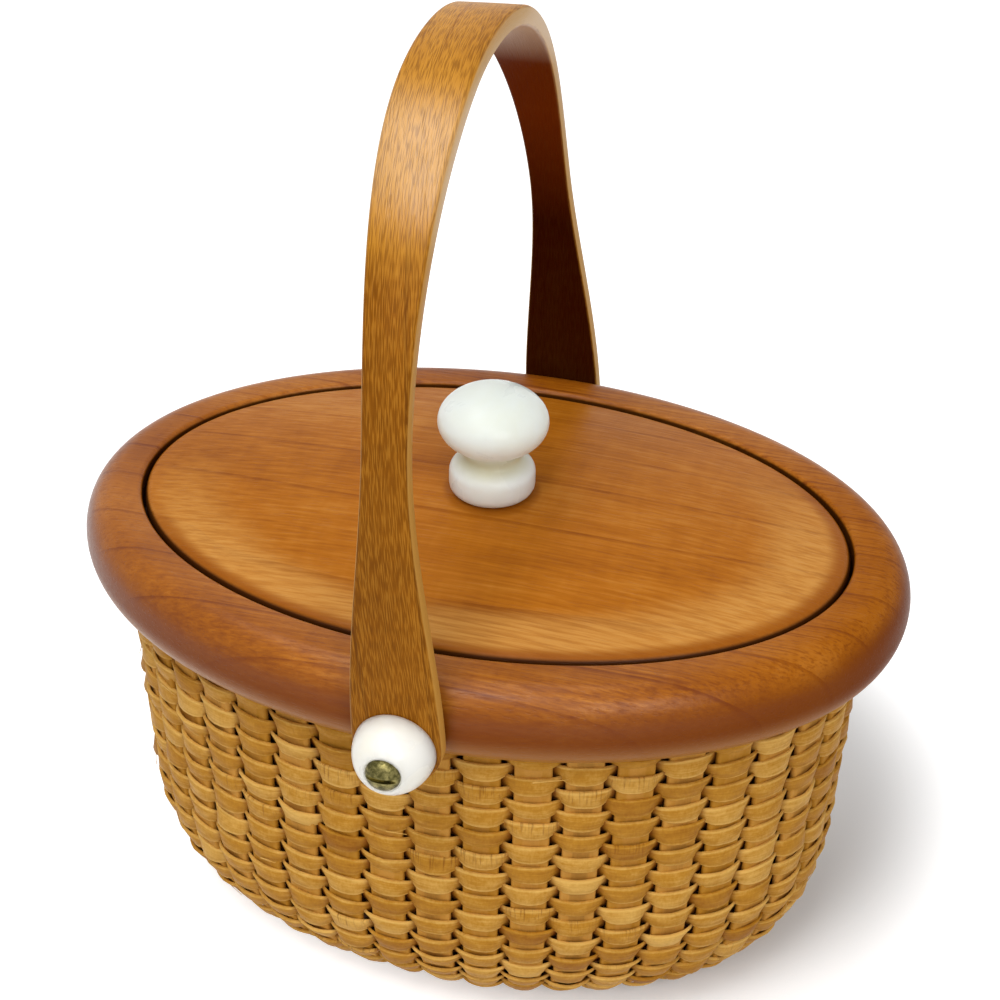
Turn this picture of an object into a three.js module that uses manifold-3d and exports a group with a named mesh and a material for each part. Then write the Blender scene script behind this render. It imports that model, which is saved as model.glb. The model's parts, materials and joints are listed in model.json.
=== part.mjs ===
// An oval basket with a wooden base, rim, lid and swing handle, woven of flat cane on upright staves.
// Millimetres, +Z up. X runs along the oval, Y across it, and the origin is under the base's middle.
// The handle turns about a line along Y through its two pivot screws. The lid lifts straight up.

import * as THREE from 'three';
import { mergeVertices } from 'three/addons/utils/BufferGeometryUtils.js';
import Module from 'manifold-3d';

const wasm = await Module();
wasm.setup();

// Clearance between pieces that touch on the real basket
const FIT = 0.3;

// Rim: a one-piece oval ring with a bullnose outside and a ledge for the lid inside
const RIM_LENGTH = 220;
const RIM_WIDTH = 157;
const RIM_TOP = 130;
const RIM_HEIGHT = 23;
const RIM_NOSE = 9.2;
const RIM_TOP_WIDTH = 15.4;
const RIM_EDGE_ROUND = 1.4;
const LEDGE_WIDTH = 6.4;

// Lid: a domed oval board that drops into the rim
const LID_CLEARANCE = 1.6;
const LID_EDGE = 9;
const LID_ROLL = 2.6;
const LID_DOME = 6;

// Wall: flat cane woven round staves that run from the base's groove to the rim's groove
const STAVE_COUNT = 41;
const STAVE_THICKNESS = 1.4;
const STAVE_TOP_WIDTH = 9.4;
const STAVE_FOOT_GAP = 1.5;
const WEAVE_THICKNESS = 1.8;
const WEAVE_DIP = 1.2;
const WEAVE_SIDE_GAP = 0.4;
const WALL_TOP_INSET = 12.8;
const WALL_BEND_INSET = 15.2;
const BEND_HEIGHT = 47.5;
const BEND_REACH = 28;
const GROOVE_CLEARANCE = 0.6;
const RIM_GROOVE_DEPTH = 5;

// Base: an oval plate with a groove round its edge
const BASE_THICKNESS = 10;
const BASE_ROUND = 1.6;
const BASE_GROOVE_DEPTH = 6.5;
const BASE_EDGE_GAP = 0.5;

// Handle: a bent strip with round, wider ends
const PIVOT_BELOW_TOP = 13.3;
const HANDLE_RISE = 145.2;
const HANDLE_THICKNESS = 5.2;
const HANDLE_END_WIDTH = 22;
const HANDLE_WAIST_WIDTH = 10.8;
const HANDLE_CROWN_WIDTH = 17.8;
const HANDLE_WAIST_REACH = 76;
const HANDLE_CROWN_REACH = 163;
const HANDLE_EDGE = 1.2;
const HANDLE_GAP = 0.8;
const HANDLE_LEAN_DEGREES = 3.5;
const ARCH_SIDE_POWER = 2.16;
const ARCH_RISE_POWER = 2.58;

// Pivot screws with their domed white caps
const CAP_DIAMETER = 20;
const CAP_HEIGHT = 10;
const CAP_FLAT = 10.4;
const CAP_SEAT_DEPTH = 0.8;
const SCREW_DIAMETER = 4;
const SCREW_HEAD_DIAMETER = 8.6;
const SCREW_HEAD_HEIGHT = 2.6;
const SCREW_SLOT_WIDTH = 1.2;
const SCREW_SLOT_DEPTH = 1.2;
const SCREW_TIP = 3;
const PIVOT_SCREW_BITE = 12;

// Knob: a flattened ball on a waisted neck and a round foot, held by a screw from under the lid
const KNOB_HEAD_DIAMETER = 28.7;
const KNOB_HEAD_HEIGHT = 17.6;
const KNOB_HEIGHT = 29.4;
const KNOB_NECK_DIAMETER = 13.5;
const KNOB_NECK_HEIGHT = 10.6;
const KNOB_NECK_FLARE = 2;
const KNOB_FOOT_DIAMETER = 22.4;
const KNOB_FOOT_HEIGHT = 7.4;
const KNOB_FOOT_ROUND = 3.2;
const KNOB_SCREW_BITE = 12;

// How finely round shapes are divided
const OVAL_STEPS = 64;
const NOSE_STEPS = 8;
const ROUND_STEPS = 20;
const EDGE_STEPS = 3;
const DOME_STEPS = 5;
const BALL_STEPS = 9;
const BEND_STEPS = 6;
const ARCH_STEPS = 44;
const END_STEPS = 6;

// Longer than any piece, for cutters that go right through
const THROUGH = 2 * RIM_LENGTH;

// Places worked out from the sizes above
const HALF_LENGTH = RIM_LENGTH / 2;
const HALF_WIDTH = RIM_WIDTH / 2;
const RIM_BOTTOM = RIM_TOP - RIM_HEIGHT;
const LID_INSET = RIM_TOP_WIDTH + LID_CLEARANCE;
const LEDGE_TOP = RIM_TOP - LID_EDGE;
const LID_BOTTOM = LEDGE_TOP + FIT;
const LID_CENTRE = RIM_TOP + LID_DOME;
const STAVE_LEVEL = BASE_THICKNESS / 2;
const GROOVE_WIDTH = STAVE_THICKNESS + 2 * GROOVE_CLEARANCE;
const BASE_INSET = WALL_BEND_INSET + BEND_REACH;
const PIVOT_HEIGHT = RIM_TOP - PIVOT_BELOW_TOP;
const HANDLE_INSIDE = HALF_WIDTH + HANDLE_GAP;
const HANDLE_OUTSIDE = HANDLE_INSIDE + HANDLE_THICKNESS;
const SCREW_BORE_RADIUS = SCREW_DIAMETER / 2 + FIT;

const { cos, sin, PI } = Math;
const vec = (x, y, z) => new THREE.Vector3(x, y, z);

// Shape helpers

// Joins equal loops of points into one closed body: in a ring, or with a fan over each end.
function loft(loops, { ring = false, start, end } = {}) {
  const count = loops[0].length;
  const points = loops.flat();
  const triangles = [];
  const spans = ring ? loops.length : loops.length - 1;
  for (let k = 0; k < spans; k += 1) {
    const low = k * count;
    const high = ((k + 1) % loops.length) * count;
    for (let j = 0; j < count; j += 1) {
      const next = (j + 1) % count;
      triangles.push(low + j, low + next, high + next, low + j, high + next, high + j);
    }
  }
  if (!ring) {
    const last = (loops.length - 1) * count;
    const tips = [start ?? middle(loops[0]), end ?? middle(loops.at(-1))];
    points.push(...tips);
    for (let j = 0; j < count; j += 1) {
      const next = (j + 1) % count;
      triangles.push(points.length - 2, next, j, points.length - 1, last + j, last + next);
    }
  }
  return closedGeometry(points, triangles);
}

function middle(loop) {
  const sum = loop.reduce((total, point) => total.add(point), vec(0, 0, 0));
  return sum.divideScalar(loop.length);
}

// A geometry whose faces point outwards, whichever way round its loops were given.
function closedGeometry(points, triangles) {
  let volume = 0;
  for (let i = 0; i < triangles.length; i += 3) {
    const [a, b, c] = [points[triangles[i]], points[triangles[i + 1]], points[triangles[i + 2]]];
    volume += a.dot(b.clone().cross(c));
  }
  const order = volume > 0 ? triangles : triangles.toReversed();
  const geometry = new THREE.BufferGeometry().setFromPoints(points);
  geometry.setIndex(order);
  return geometry;
}

function toSolid(geometry) {
  const bare = geometry.clone();
  bare.deleteAttribute('normal');
  bare.deleteAttribute('uv');
  const merged = mergeVertices(bare, 1e-4);
  const vertProperties = Float32Array.from(merged.attributes.position.array);
  const triVerts = Uint32Array.from(merged.index.array);
  return new wasm.Manifold(new wasm.Mesh({ numProp: 3, vertProperties, triVerts }));
}

function cut(geometry, ...tools) {
  const solid = tools.reduce((body, tool) => body.subtract(toSolid(tool)), toSolid(geometry));
  const { vertProperties, triVerts } = solid.getMesh();
  const result = new THREE.BufferGeometry();
  result.setAttribute('position', new THREE.BufferAttribute(Float32Array.from(vertProperties), 3));
  result.setIndex(new THREE.BufferAttribute(Uint32Array.from(triVerts), 1));
  return result;
}

// A lathe-turned solid about Z from [radius, height] pairs.
function turned(profile) {
  const points = profile.map(([radius, height]) => new THREE.Vector2(radius, height));
  return new THREE.LatheGeometry(points, ROUND_STEPS).rotateX(PI / 2);
}

function cylinder(radius, length) {
  return new THREE.CylinderGeometry(radius, radius, length, ROUND_STEPS).rotateX(PI / 2);
}

function oval(a, b, z) {
  const point = (_, j) => {
    const t = (2 * PI * j) / OVAL_STEPS;
    return vec(a * cos(t), b * sin(t), z);
  };
  return Array.from({ length: OVAL_STEPS }, point);
}

const rimOval = (inset, z) => oval(HALF_LENGTH - inset, HALF_WIDTH - inset, z);

// Points of a quarter round from its side to its top, as [out, up] shares of its radii.
function quarter(steps) {
  return Array.from({ length: steps + 1 }, (_, k) => {
    const angle = (k / steps) * (PI / 2);
    return [cos(angle), sin(angle)];
  });
}

// Materials

const finish = (color, roughness, metalness = 0) =>
  new THREE.MeshStandardMaterial({ color, roughness, metalness });
const rimWood = finish(0x96502a, 0.35);
const lidWood = finish(0xa5622f, 0.35);
const handleWood = finish(0xa26a36, 0.4);
const baseWood = finish(0x8d5228, 0.45);
const caneWeave = finish(0xc4955a, 0.6);
const caneStave = finish(0xb28348, 0.6);
const knobWhite = finish(0xe9ece9, 0.2);
const capIvory = finish(0xeee7d8, 0.25);
const agedBrass = finish(0x7d6c3f, 0.4, 0.9);

function piece(name, geometry, material) {
  const mesh = new THREE.Mesh(geometry, material);
  mesh.name = name;
  return mesh;
}

// Wall: a surface over the oval and a profile that runs from the base's edge up to the rim

function bendStation(share) {
  const angle = (1 - share) * (PI / 2);
  return {
    inset: WALL_BEND_INSET + BEND_REACH * (1 - cos(angle)),
    z: BEND_HEIGHT - (BEND_HEIGHT - STAVE_LEVEL) * sin(angle),
  };
}

const bend = Array.from({ length: BEND_STEPS + 1 }, (_, k) => bendStation(k / BEND_STEPS));
const wallTop = { inset: WALL_TOP_INSET, z: RIM_BOTTOM - FIT };
const staveTop = { inset: WALL_TOP_INSET, z: RIM_BOTTOM + RIM_GROOVE_DEPTH - FIT };
const staveFoot = { inset: BASE_INSET + BASE_GROOVE_DEPTH - FIT, z: STAVE_LEVEL };
const weaveFoot = { inset: BASE_INSET - BASE_EDGE_GAP, z: STAVE_LEVEL };

const onWall = (station, t) =>
  vec((HALF_LENGTH - station.inset) * cos(t), (HALF_WIDTH - station.inset) * sin(t), station.z);

const roundWall = (station, t) =>
  vec(-(HALF_LENGTH - station.inset) * sin(t), (HALF_WIDTH - station.inset) * cos(t), 0);

// A point of the wall moved outwards by some distance, square to the surface.
function offWall(stations, k, t, distance) {
  const below = onWall(stations[Math.max(k - 1, 0)], t);
  const above = onWall(stations[Math.min(k + 1, stations.length - 1)], t);
  const out = roundWall(stations[k], t).cross(above.sub(below)).normalize();
  return onWall(stations[k], t).addScaledVector(out, distance);
}

// Distances round the wall's top, and the staves that share it into equal steps. Their number is odd,
// so that a weaver which goes round and round passes outside a stave on one turn and inside on the next.
const fineSteps = 7200;
const fineAngle = (2 * PI) / fineSteps;
const topDistances = [0];
for (let j = 0; j < fineSteps; j += 1) {
  topDistances.push(topDistances[j] + roundWall(wallTop, (j + 0.5) * fineAngle).length() * fineAngle);
}
const topRoom = topDistances[fineSteps] / STAVE_COUNT;
const angles = Array.from({ length: STAVE_COUNT }, (_, i) =>
  fineAngle * topDistances.findIndex((distance) => distance >= i * topRoom));

// Room along the oval for one stave, and the width of the stave there.
const room = (station, t) =>
  (topRoom * roundWall(station, t).length()) / roundWall(wallTop, t).length();

function staveWidth(station, t) {
  const footRoom = room(staveFoot, t);
  const share = (room(station, t) - footRoom) / (topRoom - footRoom);
  return THREE.MathUtils.lerp(footRoom - STAVE_FOOT_GAP, STAVE_TOP_WIDTH, share);
}

// Half of a width along the oval, as an angle.
const halfAngle = (station, t, width) => width / 2 / roundWall(station, t).length();

function stave(t) {
  const stations = [staveFoot, ...bend, staveTop];
  const half = STAVE_THICKNESS / 2;
  const loops = stations.map((station, k) => {
    const turn = halfAngle(station, t, staveWidth(station, t));
    const corners = [[-turn, -half], [turn, -half], [turn, half], [-turn, half]];
    return corners.map(([side, distance]) => offWall(stations, k, t + side, distance));
  });
  return loft(loops);
}

// The woven cane as one fluted shell: it bows over each stave and dips in between.
function wovenWall() {
  const stations = [weaveFoot, ...bend.slice(1), wallTop];
  const inside = STAVE_THICKNESS / 2 + FIT;
  const outside = inside + WEAVE_THICKNESS;
  const loop = (station, k, distance) => angles.flatMap((t, i) => {
    const next = i + 1 < angles.length ? angles[i + 1] : angles[0] + 2 * PI;
    const turn = halfAngle(station, t, staveWidth(station, t) + 2 * WEAVE_SIDE_GAP);
    return [
      offWall(stations, k, t - turn, distance),
      offWall(stations, k, t + turn, distance),
      offWall(stations, k, (t + next) / 2, distance - WEAVE_DIP),
    ];
  });
  const outer = stations.map((station, k) => loop(station, k, outside));
  const inner = stations.map((station, k) => loop(station, k, inside));
  return loft([...outer, ...inner.toReversed()], { ring: true });
}

// Base, rim and lid

function base() {
  const edge = (inset, z) => rimOval(BASE_INSET + inset, z);
  const low = STAVE_LEVEL - GROOVE_WIDTH / 2;
  const high = STAVE_LEVEL + GROOVE_WIDTH / 2;
  return loft([
    edge(BASE_ROUND, 0),
    edge(0, BASE_ROUND),
    edge(0, low),
    edge(BASE_GROOVE_DEPTH, low),
    edge(BASE_GROOVE_DEPTH, high),
    edge(0, high),
    edge(0, BASE_THICKNESS - BASE_ROUND),
    edge(BASE_ROUND, BASE_THICKNESS),
  ]);
}

function pilotHole(side) {
  const reach = PIVOT_SCREW_BITE + FIT;
  const hole = new THREE.CylinderGeometry(SCREW_BORE_RADIUS, SCREW_BORE_RADIUS, 2 * reach, ROUND_STEPS);
  return hole.translate(0, side * HALF_WIDTH, PIVOT_HEIGHT);
}

function rim() {
  const half = RIM_HEIGHT / 2;
  const nose = [];
  for (let k = 0; k <= NOSE_STEPS; k += 1) {
    const angle = -PI / 2 + (PI * k) / NOSE_STEPS;
    nose.push([RIM_NOSE * (1 - cos(angle)), RIM_BOTTOM + half + half * sin(angle)]);
  }
  const soft = RIM_EDGE_ROUND * (1 - Math.SQRT1_2);
  const ledgeInset = RIM_TOP_WIDTH + LEDGE_WIDTH;
  const grooveOut = WALL_TOP_INSET - GROOVE_WIDTH / 2;
  const grooveIn = WALL_TOP_INSET + GROOVE_WIDTH / 2;
  const grooveTop = RIM_BOTTOM + RIM_GROOVE_DEPTH;
  const section = [
    ...nose,
    [RIM_TOP_WIDTH - RIM_EDGE_ROUND, RIM_TOP],
    [RIM_TOP_WIDTH - soft, RIM_TOP - soft],
    [RIM_TOP_WIDTH, RIM_TOP - RIM_EDGE_ROUND],
    [RIM_TOP_WIDTH, LEDGE_TOP],
    [ledgeInset, LEDGE_TOP],
    [ledgeInset, RIM_BOTTOM],
    [grooveIn, RIM_BOTTOM],
    [grooveIn, grooveTop],
    [grooveOut, grooveTop],
    [grooveOut, RIM_BOTTOM],
  ];
  const ring = loft(section.map(([inset, z]) => rimOval(inset, z)), { ring: true });
  return cut(ring, pilotHole(-1), pilotHole(1));
}

function lid() {
  const a = HALF_LENGTH - LID_INSET;
  const b = HALF_WIDTH - LID_INSET;
  const rollBottom = RIM_TOP - LID_ROLL;
  const roll = quarter(EDGE_STEPS).map(([out, up]) => {
    const inset = LID_ROLL * (1 - out);
    return oval(a - inset, b - inset, rollBottom + LID_ROLL * up);
  });
  const dome = Array.from({ length: DOME_STEPS - 1 }, (_, k) => {
    const share = 1 - (k + 1) / DOME_STEPS;
    return oval(a * share, b * share, RIM_TOP + LID_DOME * (1 - share * share));
  });
  const board = loft([oval(a, b, LID_BOTTOM), ...roll, ...dome], { end: vec(0, 0, LID_CENTRE) });
  return cut(board, cylinder(SCREW_BORE_RADIUS, THROUGH));
}

// Knob, caps and screws

function knob() {
  const ball = KNOB_HEAD_HEIGHT / 2;
  const ballMiddle = KNOB_HEIGHT - ball;
  const neck = KNOB_NECK_DIAMETER / 2;
  const foot = KNOB_FOOT_DIAMETER / 2;
  const head = KNOB_HEAD_DIAMETER / 2;
  const holeTop = KNOB_SCREW_BITE + FIT;
  const footEdge = quarter(EDGE_STEPS).map(([out, up]) => [
    foot - KNOB_FOOT_ROUND * (1 - out),
    KNOB_FOOT_HEIGHT - KNOB_FOOT_ROUND * (1 - up),
  ]);
  const neckEnd = -Math.acos((neck + KNOB_NECK_FLARE) / head);
  const ballEdge = Array.from({ length: BALL_STEPS }, (_, k) => {
    const angle = THREE.MathUtils.lerp(neckEnd, PI / 2, k / BALL_STEPS);
    return [head * cos(angle), ballMiddle + ball * sin(angle)];
  });
  return turned([
    [0, holeTop],
    [SCREW_BORE_RADIUS, holeTop],
    [SCREW_BORE_RADIUS, 0],
    [foot, 0],
    ...footEdge,
    [neck, KNOB_NECK_HEIGHT],
    ...ballEdge,
    [0, KNOB_HEIGHT],
  ]);
}

function cap() {
  const radius = CAP_DIAMETER / 2;
  const flat = CAP_FLAT / 2;
  const seat = CAP_HEIGHT - CAP_SEAT_DEPTH;
  const seatRadius = SCREW_HEAD_DIAMETER / 2 + FIT;
  const domeEnd = Math.acos(flat / radius);
  const dome = Array.from({ length: DOME_STEPS + 1 }, (_, k) => {
    const angle = (domeEnd * k) / DOME_STEPS;
    return [radius * cos(angle), (CAP_HEIGHT * sin(angle)) / sin(domeEnd)];
  });
  return turned([
    [SCREW_BORE_RADIUS, 0],
    ...dome,
    [seatRadius, CAP_HEIGHT],
    [seatRadius, seat],
    [SCREW_BORE_RADIUS, seat],
    [SCREW_BORE_RADIUS, 0],
  ]);
}

// A round-head screw along +Z with its head's underside at the origin and its shank below.
function screw(length) {
  const shank = SCREW_DIAMETER / 2;
  const headEdge = quarter(DOME_STEPS).slice(0, -1).map(([out, up]) => [
    (SCREW_HEAD_DIAMETER / 2) * out,
    SCREW_HEAD_HEIGHT * up,
  ]);
  const body = turned([
    [0, -length],
    [shank, SCREW_TIP - length],
    [shank, 0],
    ...headEdge,
    [0, SCREW_HEAD_HEIGHT],
  ]);
  const slot = new THREE.BoxGeometry(2 * SCREW_HEAD_DIAMETER, SCREW_SLOT_WIDTH, 2 * SCREW_SLOT_DEPTH);
  return cut(body, slot.translate(0, 0, SCREW_HEAD_HEIGHT));
}

// Handle: an arch between the two pivots, upright, with the pivot line through its own origin

class HandleArch extends THREE.Curve {
  getPoint(share, target = new THREE.Vector3()) {
    const angle = PI * share;
    const side = (HANDLE_INSIDE + HANDLE_OUTSIDE) / 2;
    const rise = HANDLE_RISE - HANDLE_THICKNESS / 2;
    const across = Math.abs(cos(angle)) ** (2 / ARCH_SIDE_POWER);
    const up = Math.max(sin(angle), 0) ** (2 / ARCH_RISE_POWER);
    return target.set(0, -Math.sign(cos(angle)) * side * across, rise * up);
  }
}

function handleWidth(distance) {
  const { lerp, smoothstep } = THREE.MathUtils;
  if (distance < HANDLE_WAIST_REACH) {
    const share = smoothstep(distance, 0, HANDLE_WAIST_REACH);
    return lerp(HANDLE_END_WIDTH, HANDLE_WAIST_WIDTH, share);
  }
  const share = smoothstep(distance, HANDLE_WAIST_REACH, HANDLE_CROWN_REACH);
  return lerp(HANDLE_WAIST_WIDTH, HANDLE_CROWN_WIDTH, share);
}

// One cross-section of the strip, its corners taken off.
function stripSection(centre, out, width) {
  const w = width / 2;
  const t = HANDLE_THICKNESS / 2;
  const e = Math.min(HANDLE_EDGE, w / 2);
  const corners = [
    [-w, -t + e], [-w + e, -t], [w - e, -t], [w, -t + e],
    [w, t - e], [w - e, t], [-w + e, t], [-w, t - e],
  ];
  return corners.map(([x, depth]) => centre.clone().add(vec(x, 0, 0)).addScaledVector(out, depth));
}

function handle() {
  const arch = new HandleArch();
  const points = arch.getSpacedPoints(ARCH_STEPS);
  const length = arch.getLength();
  const radius = HANDLE_END_WIDTH / 2;
  const loops = points.map((point, k) => {
    const along = points[Math.min(k + 1, ARCH_STEPS)].clone().sub(points[Math.max(k - 1, 0)]).normalize();
    const atFoot = k === 0 || k === ARCH_STEPS;
    const out = atFoot ? vec(0, Math.sign(point.y), 0) : vec(0, -along.z, along.y);
    const distance = (length * Math.min(k, ARCH_STEPS - k)) / ARCH_STEPS;
    return stripSection(point, out, handleWidth(distance));
  });
  const roundEnd = (point) => Array.from({ length: END_STEPS - 1 }, (_, k) => {
    const angle = ((k + 1) / END_STEPS) * (PI / 2);
    const centre = point.clone().add(vec(0, 0, -radius * cos(angle)));
    return stripSection(centre, vec(0, Math.sign(point.y), 0), 2 * radius * sin(angle));
  });
  const front = roundEnd(points[0]);
  const back = roundEnd(points.at(-1)).toReversed();
  const hole = new THREE.CylinderGeometry(SCREW_BORE_RADIUS, SCREW_BORE_RADIUS, THROUGH, ROUND_STEPS);
  return cut(loft([...front, ...loops, ...back]), hole);
}

// Assembly

const basket = new THREE.Group();
basket.add(piece('base', base(), baseWood));
angles.forEach((t, i) => {
  const number = String(i + 1).padStart(2, '0');
  basket.add(piece(`stave_${number}`, stave(t), caneStave));
});
basket.add(piece('woven_wall', wovenWall(), caneWeave));
basket.add(piece('rim', rim(), rimWood));

const capFoot = HANDLE_OUTSIDE + FIT;
const pivotHeadSeat = capFoot + CAP_HEIGHT - CAP_SEAT_DEPTH + FIT;
const pivotScrewLength = pivotHeadSeat - HALF_WIDTH + PIVOT_SCREW_BITE;
[['front', -1], ['back', 1]].forEach(([name, side]) => {
  const pivot = new THREE.Group();
  pivot.position.z = PIVOT_HEIGHT;
  pivot.rotation.x = -side * (PI / 2);
  const dome = piece(`cap_${name}`, cap(), capIvory);
  dome.position.z = capFoot;
  const fastener = piece(`pivot_screw_${name}`, screw(pivotScrewLength), agedBrass);
  fastener.position.z = pivotHeadSeat;
  pivot.add(dome, fastener);
  basket.add(pivot);
});

const bail = piece('handle', handle(), handleWood);
bail.position.z = PIVOT_HEIGHT;
bail.rotation.y = -THREE.MathUtils.degToRad(HANDLE_LEAN_DEGREES);

const cover = new THREE.Group();
const grip = piece('knob', knob(), knobWhite);
grip.position.z = LID_CENTRE + FIT;
const knobScrewLength = LID_CENTRE - LID_BOTTOM + 2 * FIT + KNOB_SCREW_BITE;
const knobScrew = piece('knob_screw', screw(knobScrewLength), agedBrass);
knobScrew.position.z = LID_BOTTOM - FIT;
knobScrew.rotation.x = PI;
cover.add(piece('lid', lid(), lidWood), grip, knobScrew);

const whole = new THREE.Group();
whole.add(basket, bail, cover);

export default whole;
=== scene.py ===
"""An oval basket: cane woven on staves, a grooved base, a cherry rim and lid, and a swing handle.

Lengths are metres. X runs along the oval, Y across it with the viewer on its minus side, and Z up.
"""

import json
import math

import bmesh
import bpy
import numpy as np
from bpy.props import FloatProperty, FloatVectorProperty, IntProperty, PointerProperty
from mathutils import Matrix, Vector


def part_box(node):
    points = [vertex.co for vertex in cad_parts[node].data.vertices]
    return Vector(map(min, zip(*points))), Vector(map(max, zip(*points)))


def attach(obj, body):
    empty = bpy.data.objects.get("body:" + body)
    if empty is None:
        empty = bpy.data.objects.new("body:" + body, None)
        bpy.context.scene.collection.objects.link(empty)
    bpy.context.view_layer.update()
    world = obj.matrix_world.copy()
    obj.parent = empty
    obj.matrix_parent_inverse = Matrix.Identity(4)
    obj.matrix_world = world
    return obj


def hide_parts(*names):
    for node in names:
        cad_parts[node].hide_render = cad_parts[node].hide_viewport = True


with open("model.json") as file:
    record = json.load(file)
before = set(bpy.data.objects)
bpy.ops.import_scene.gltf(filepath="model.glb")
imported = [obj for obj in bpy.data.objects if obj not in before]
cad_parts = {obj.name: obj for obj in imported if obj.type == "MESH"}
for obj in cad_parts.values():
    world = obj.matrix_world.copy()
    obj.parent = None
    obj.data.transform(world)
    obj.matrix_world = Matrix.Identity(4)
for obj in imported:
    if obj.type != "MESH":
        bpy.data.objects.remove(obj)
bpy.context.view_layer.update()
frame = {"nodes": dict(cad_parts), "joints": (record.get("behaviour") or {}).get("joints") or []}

bl_info = {
    "name": "Oval Lidded Basket",
    "version": (1, 0, 0),
    "blender": (4, 5, 0),
    "location": "View3D > Sidebar > Basket",
    "description": "Builds an oval cane basket with a wooden lid and a swing handle",
    "category": "Add Mesh",
}

MM = 0.001

# Places taken from the frame
HALF_LENGTH, HALF_WIDTH, RIM_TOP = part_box("rim")[1]
RIM_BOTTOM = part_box("rim")[0].z
LID_HALF_LENGTH, LID_HALF_WIDTH, LID_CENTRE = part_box("lid")[1]
LID_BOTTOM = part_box("lid")[0].z
BASE_HALF_LENGTH, BASE_HALF_WIDTH, BASE_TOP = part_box("base")[1]
HANDLE_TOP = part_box("handle")[1].z
KNOB_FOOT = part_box("knob")[0].z
KNOB_RADIUS, _, KNOB_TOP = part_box("knob")[1]
KNOB_SCREW_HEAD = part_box("knob_screw")[0].z
KNOB_SCREW_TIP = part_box("knob_screw")[1].z
CAP_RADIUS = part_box("cap_back")[1].x
CAP_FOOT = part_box("cap_back")[0].y
CAP_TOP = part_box("cap_back")[1].y
SCREW_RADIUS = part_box("pivot_screw_back")[1].x
SCREW_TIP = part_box("pivot_screw_back")[0].y
SCREW_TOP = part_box("pivot_screw_back")[1].y
PIVOT_HEIGHT = next(joint["pos_m"][2] for joint in frame["joints"] if joint["name"] == "handle_swing")
STAVE_NODES = sorted(node for node in frame["nodes"] if node.startswith("stave_"))

# How finely shapes are divided
OVAL_STEPS = 192
ROUND_STEPS = 72
NOSE_STEPS = 28
CORNER_STEPS = 5
DOME_STEPS = 24
ARCH_STEPS = 180
END_STEPS = 14
PROFILE_STEPS = 90
STAVE_STEPS = 60
HAIR_STEPS = 9
OVAL_SAMPLES = 7201
ARCH_SAMPLES = 4001
STAVE_SECTION, CANE_SECTION, HAIR_SECTION, HANDLE_SECTION = 16, 12, 8, 24
WEAVE_SHARES = (0, 0.15, 0.27, 0.34, 0.385, 0.42, 0.46, 0.5, 0.54, 0.58, 0.615, 0.66, 0.73, 0.85)
CREASE = math.radians(38)
DOME_END = math.radians(88)
LID_ROLL_END = math.radians(78)
KNOB_HEAD_START = math.radians(-54)

# The stave that the cane passes first, and how many staves its tone takes to drift
FIRST_STAVE = 1
DRIFT = 9

# Lamps: the setting that holds the power, the place, and the width and depth
LAMPS = (
    ("front", (-0.1, -0.6, 1.05), (0.45, 0.28)),
    ("top", (-0.25, 0.0, 1.2), (0.7, 0.7)),
    ("low", (0.55, -0.8, 0.82), (0.5, 0.5)),
    ("left", (-0.3, -1.0, 0.75), (0.28, 0.28)),
)
LAMP_AIM = Vector((0, 0, 0.1))
FLOOR_REACH = 4.0


def linear(red, green, blue):
    """A colour as Blender holds it, from the usual 0 to 255 screen values."""
    shares = (red / 255, green / 255, blue / 255)
    return tuple(s / 12.92 if s <= 0.04045 else ((s + 0.055) / 1.055) ** 2.4 for s in shares)


def size(name, millimetres, description):
    return FloatProperty(
        name=name, description=description, default=millimetres * MM, min=0.0, precision=4,
        unit="LENGTH", subtype="DISTANCE",
    )


def angle(name, degrees, description):
    radians = math.radians(degrees)
    return FloatProperty(
        name=name, description=description, default=radians, unit="ROTATION", subtype="ANGLE",
    )


def factor(name, share, description):
    return FloatProperty(name=name, description=description, default=share, min=0.0, subtype="FACTOR")


def power(name, watts, description):
    return FloatProperty(name=name, description=description, default=watts, unit="POWER")


def colour(name, screen, description):
    return FloatVectorProperty(
        name=name, description=description, default=linear(*screen), size=3, min=0.0, max=1.0,
        subtype="COLOR",
    )


# Settings


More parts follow.
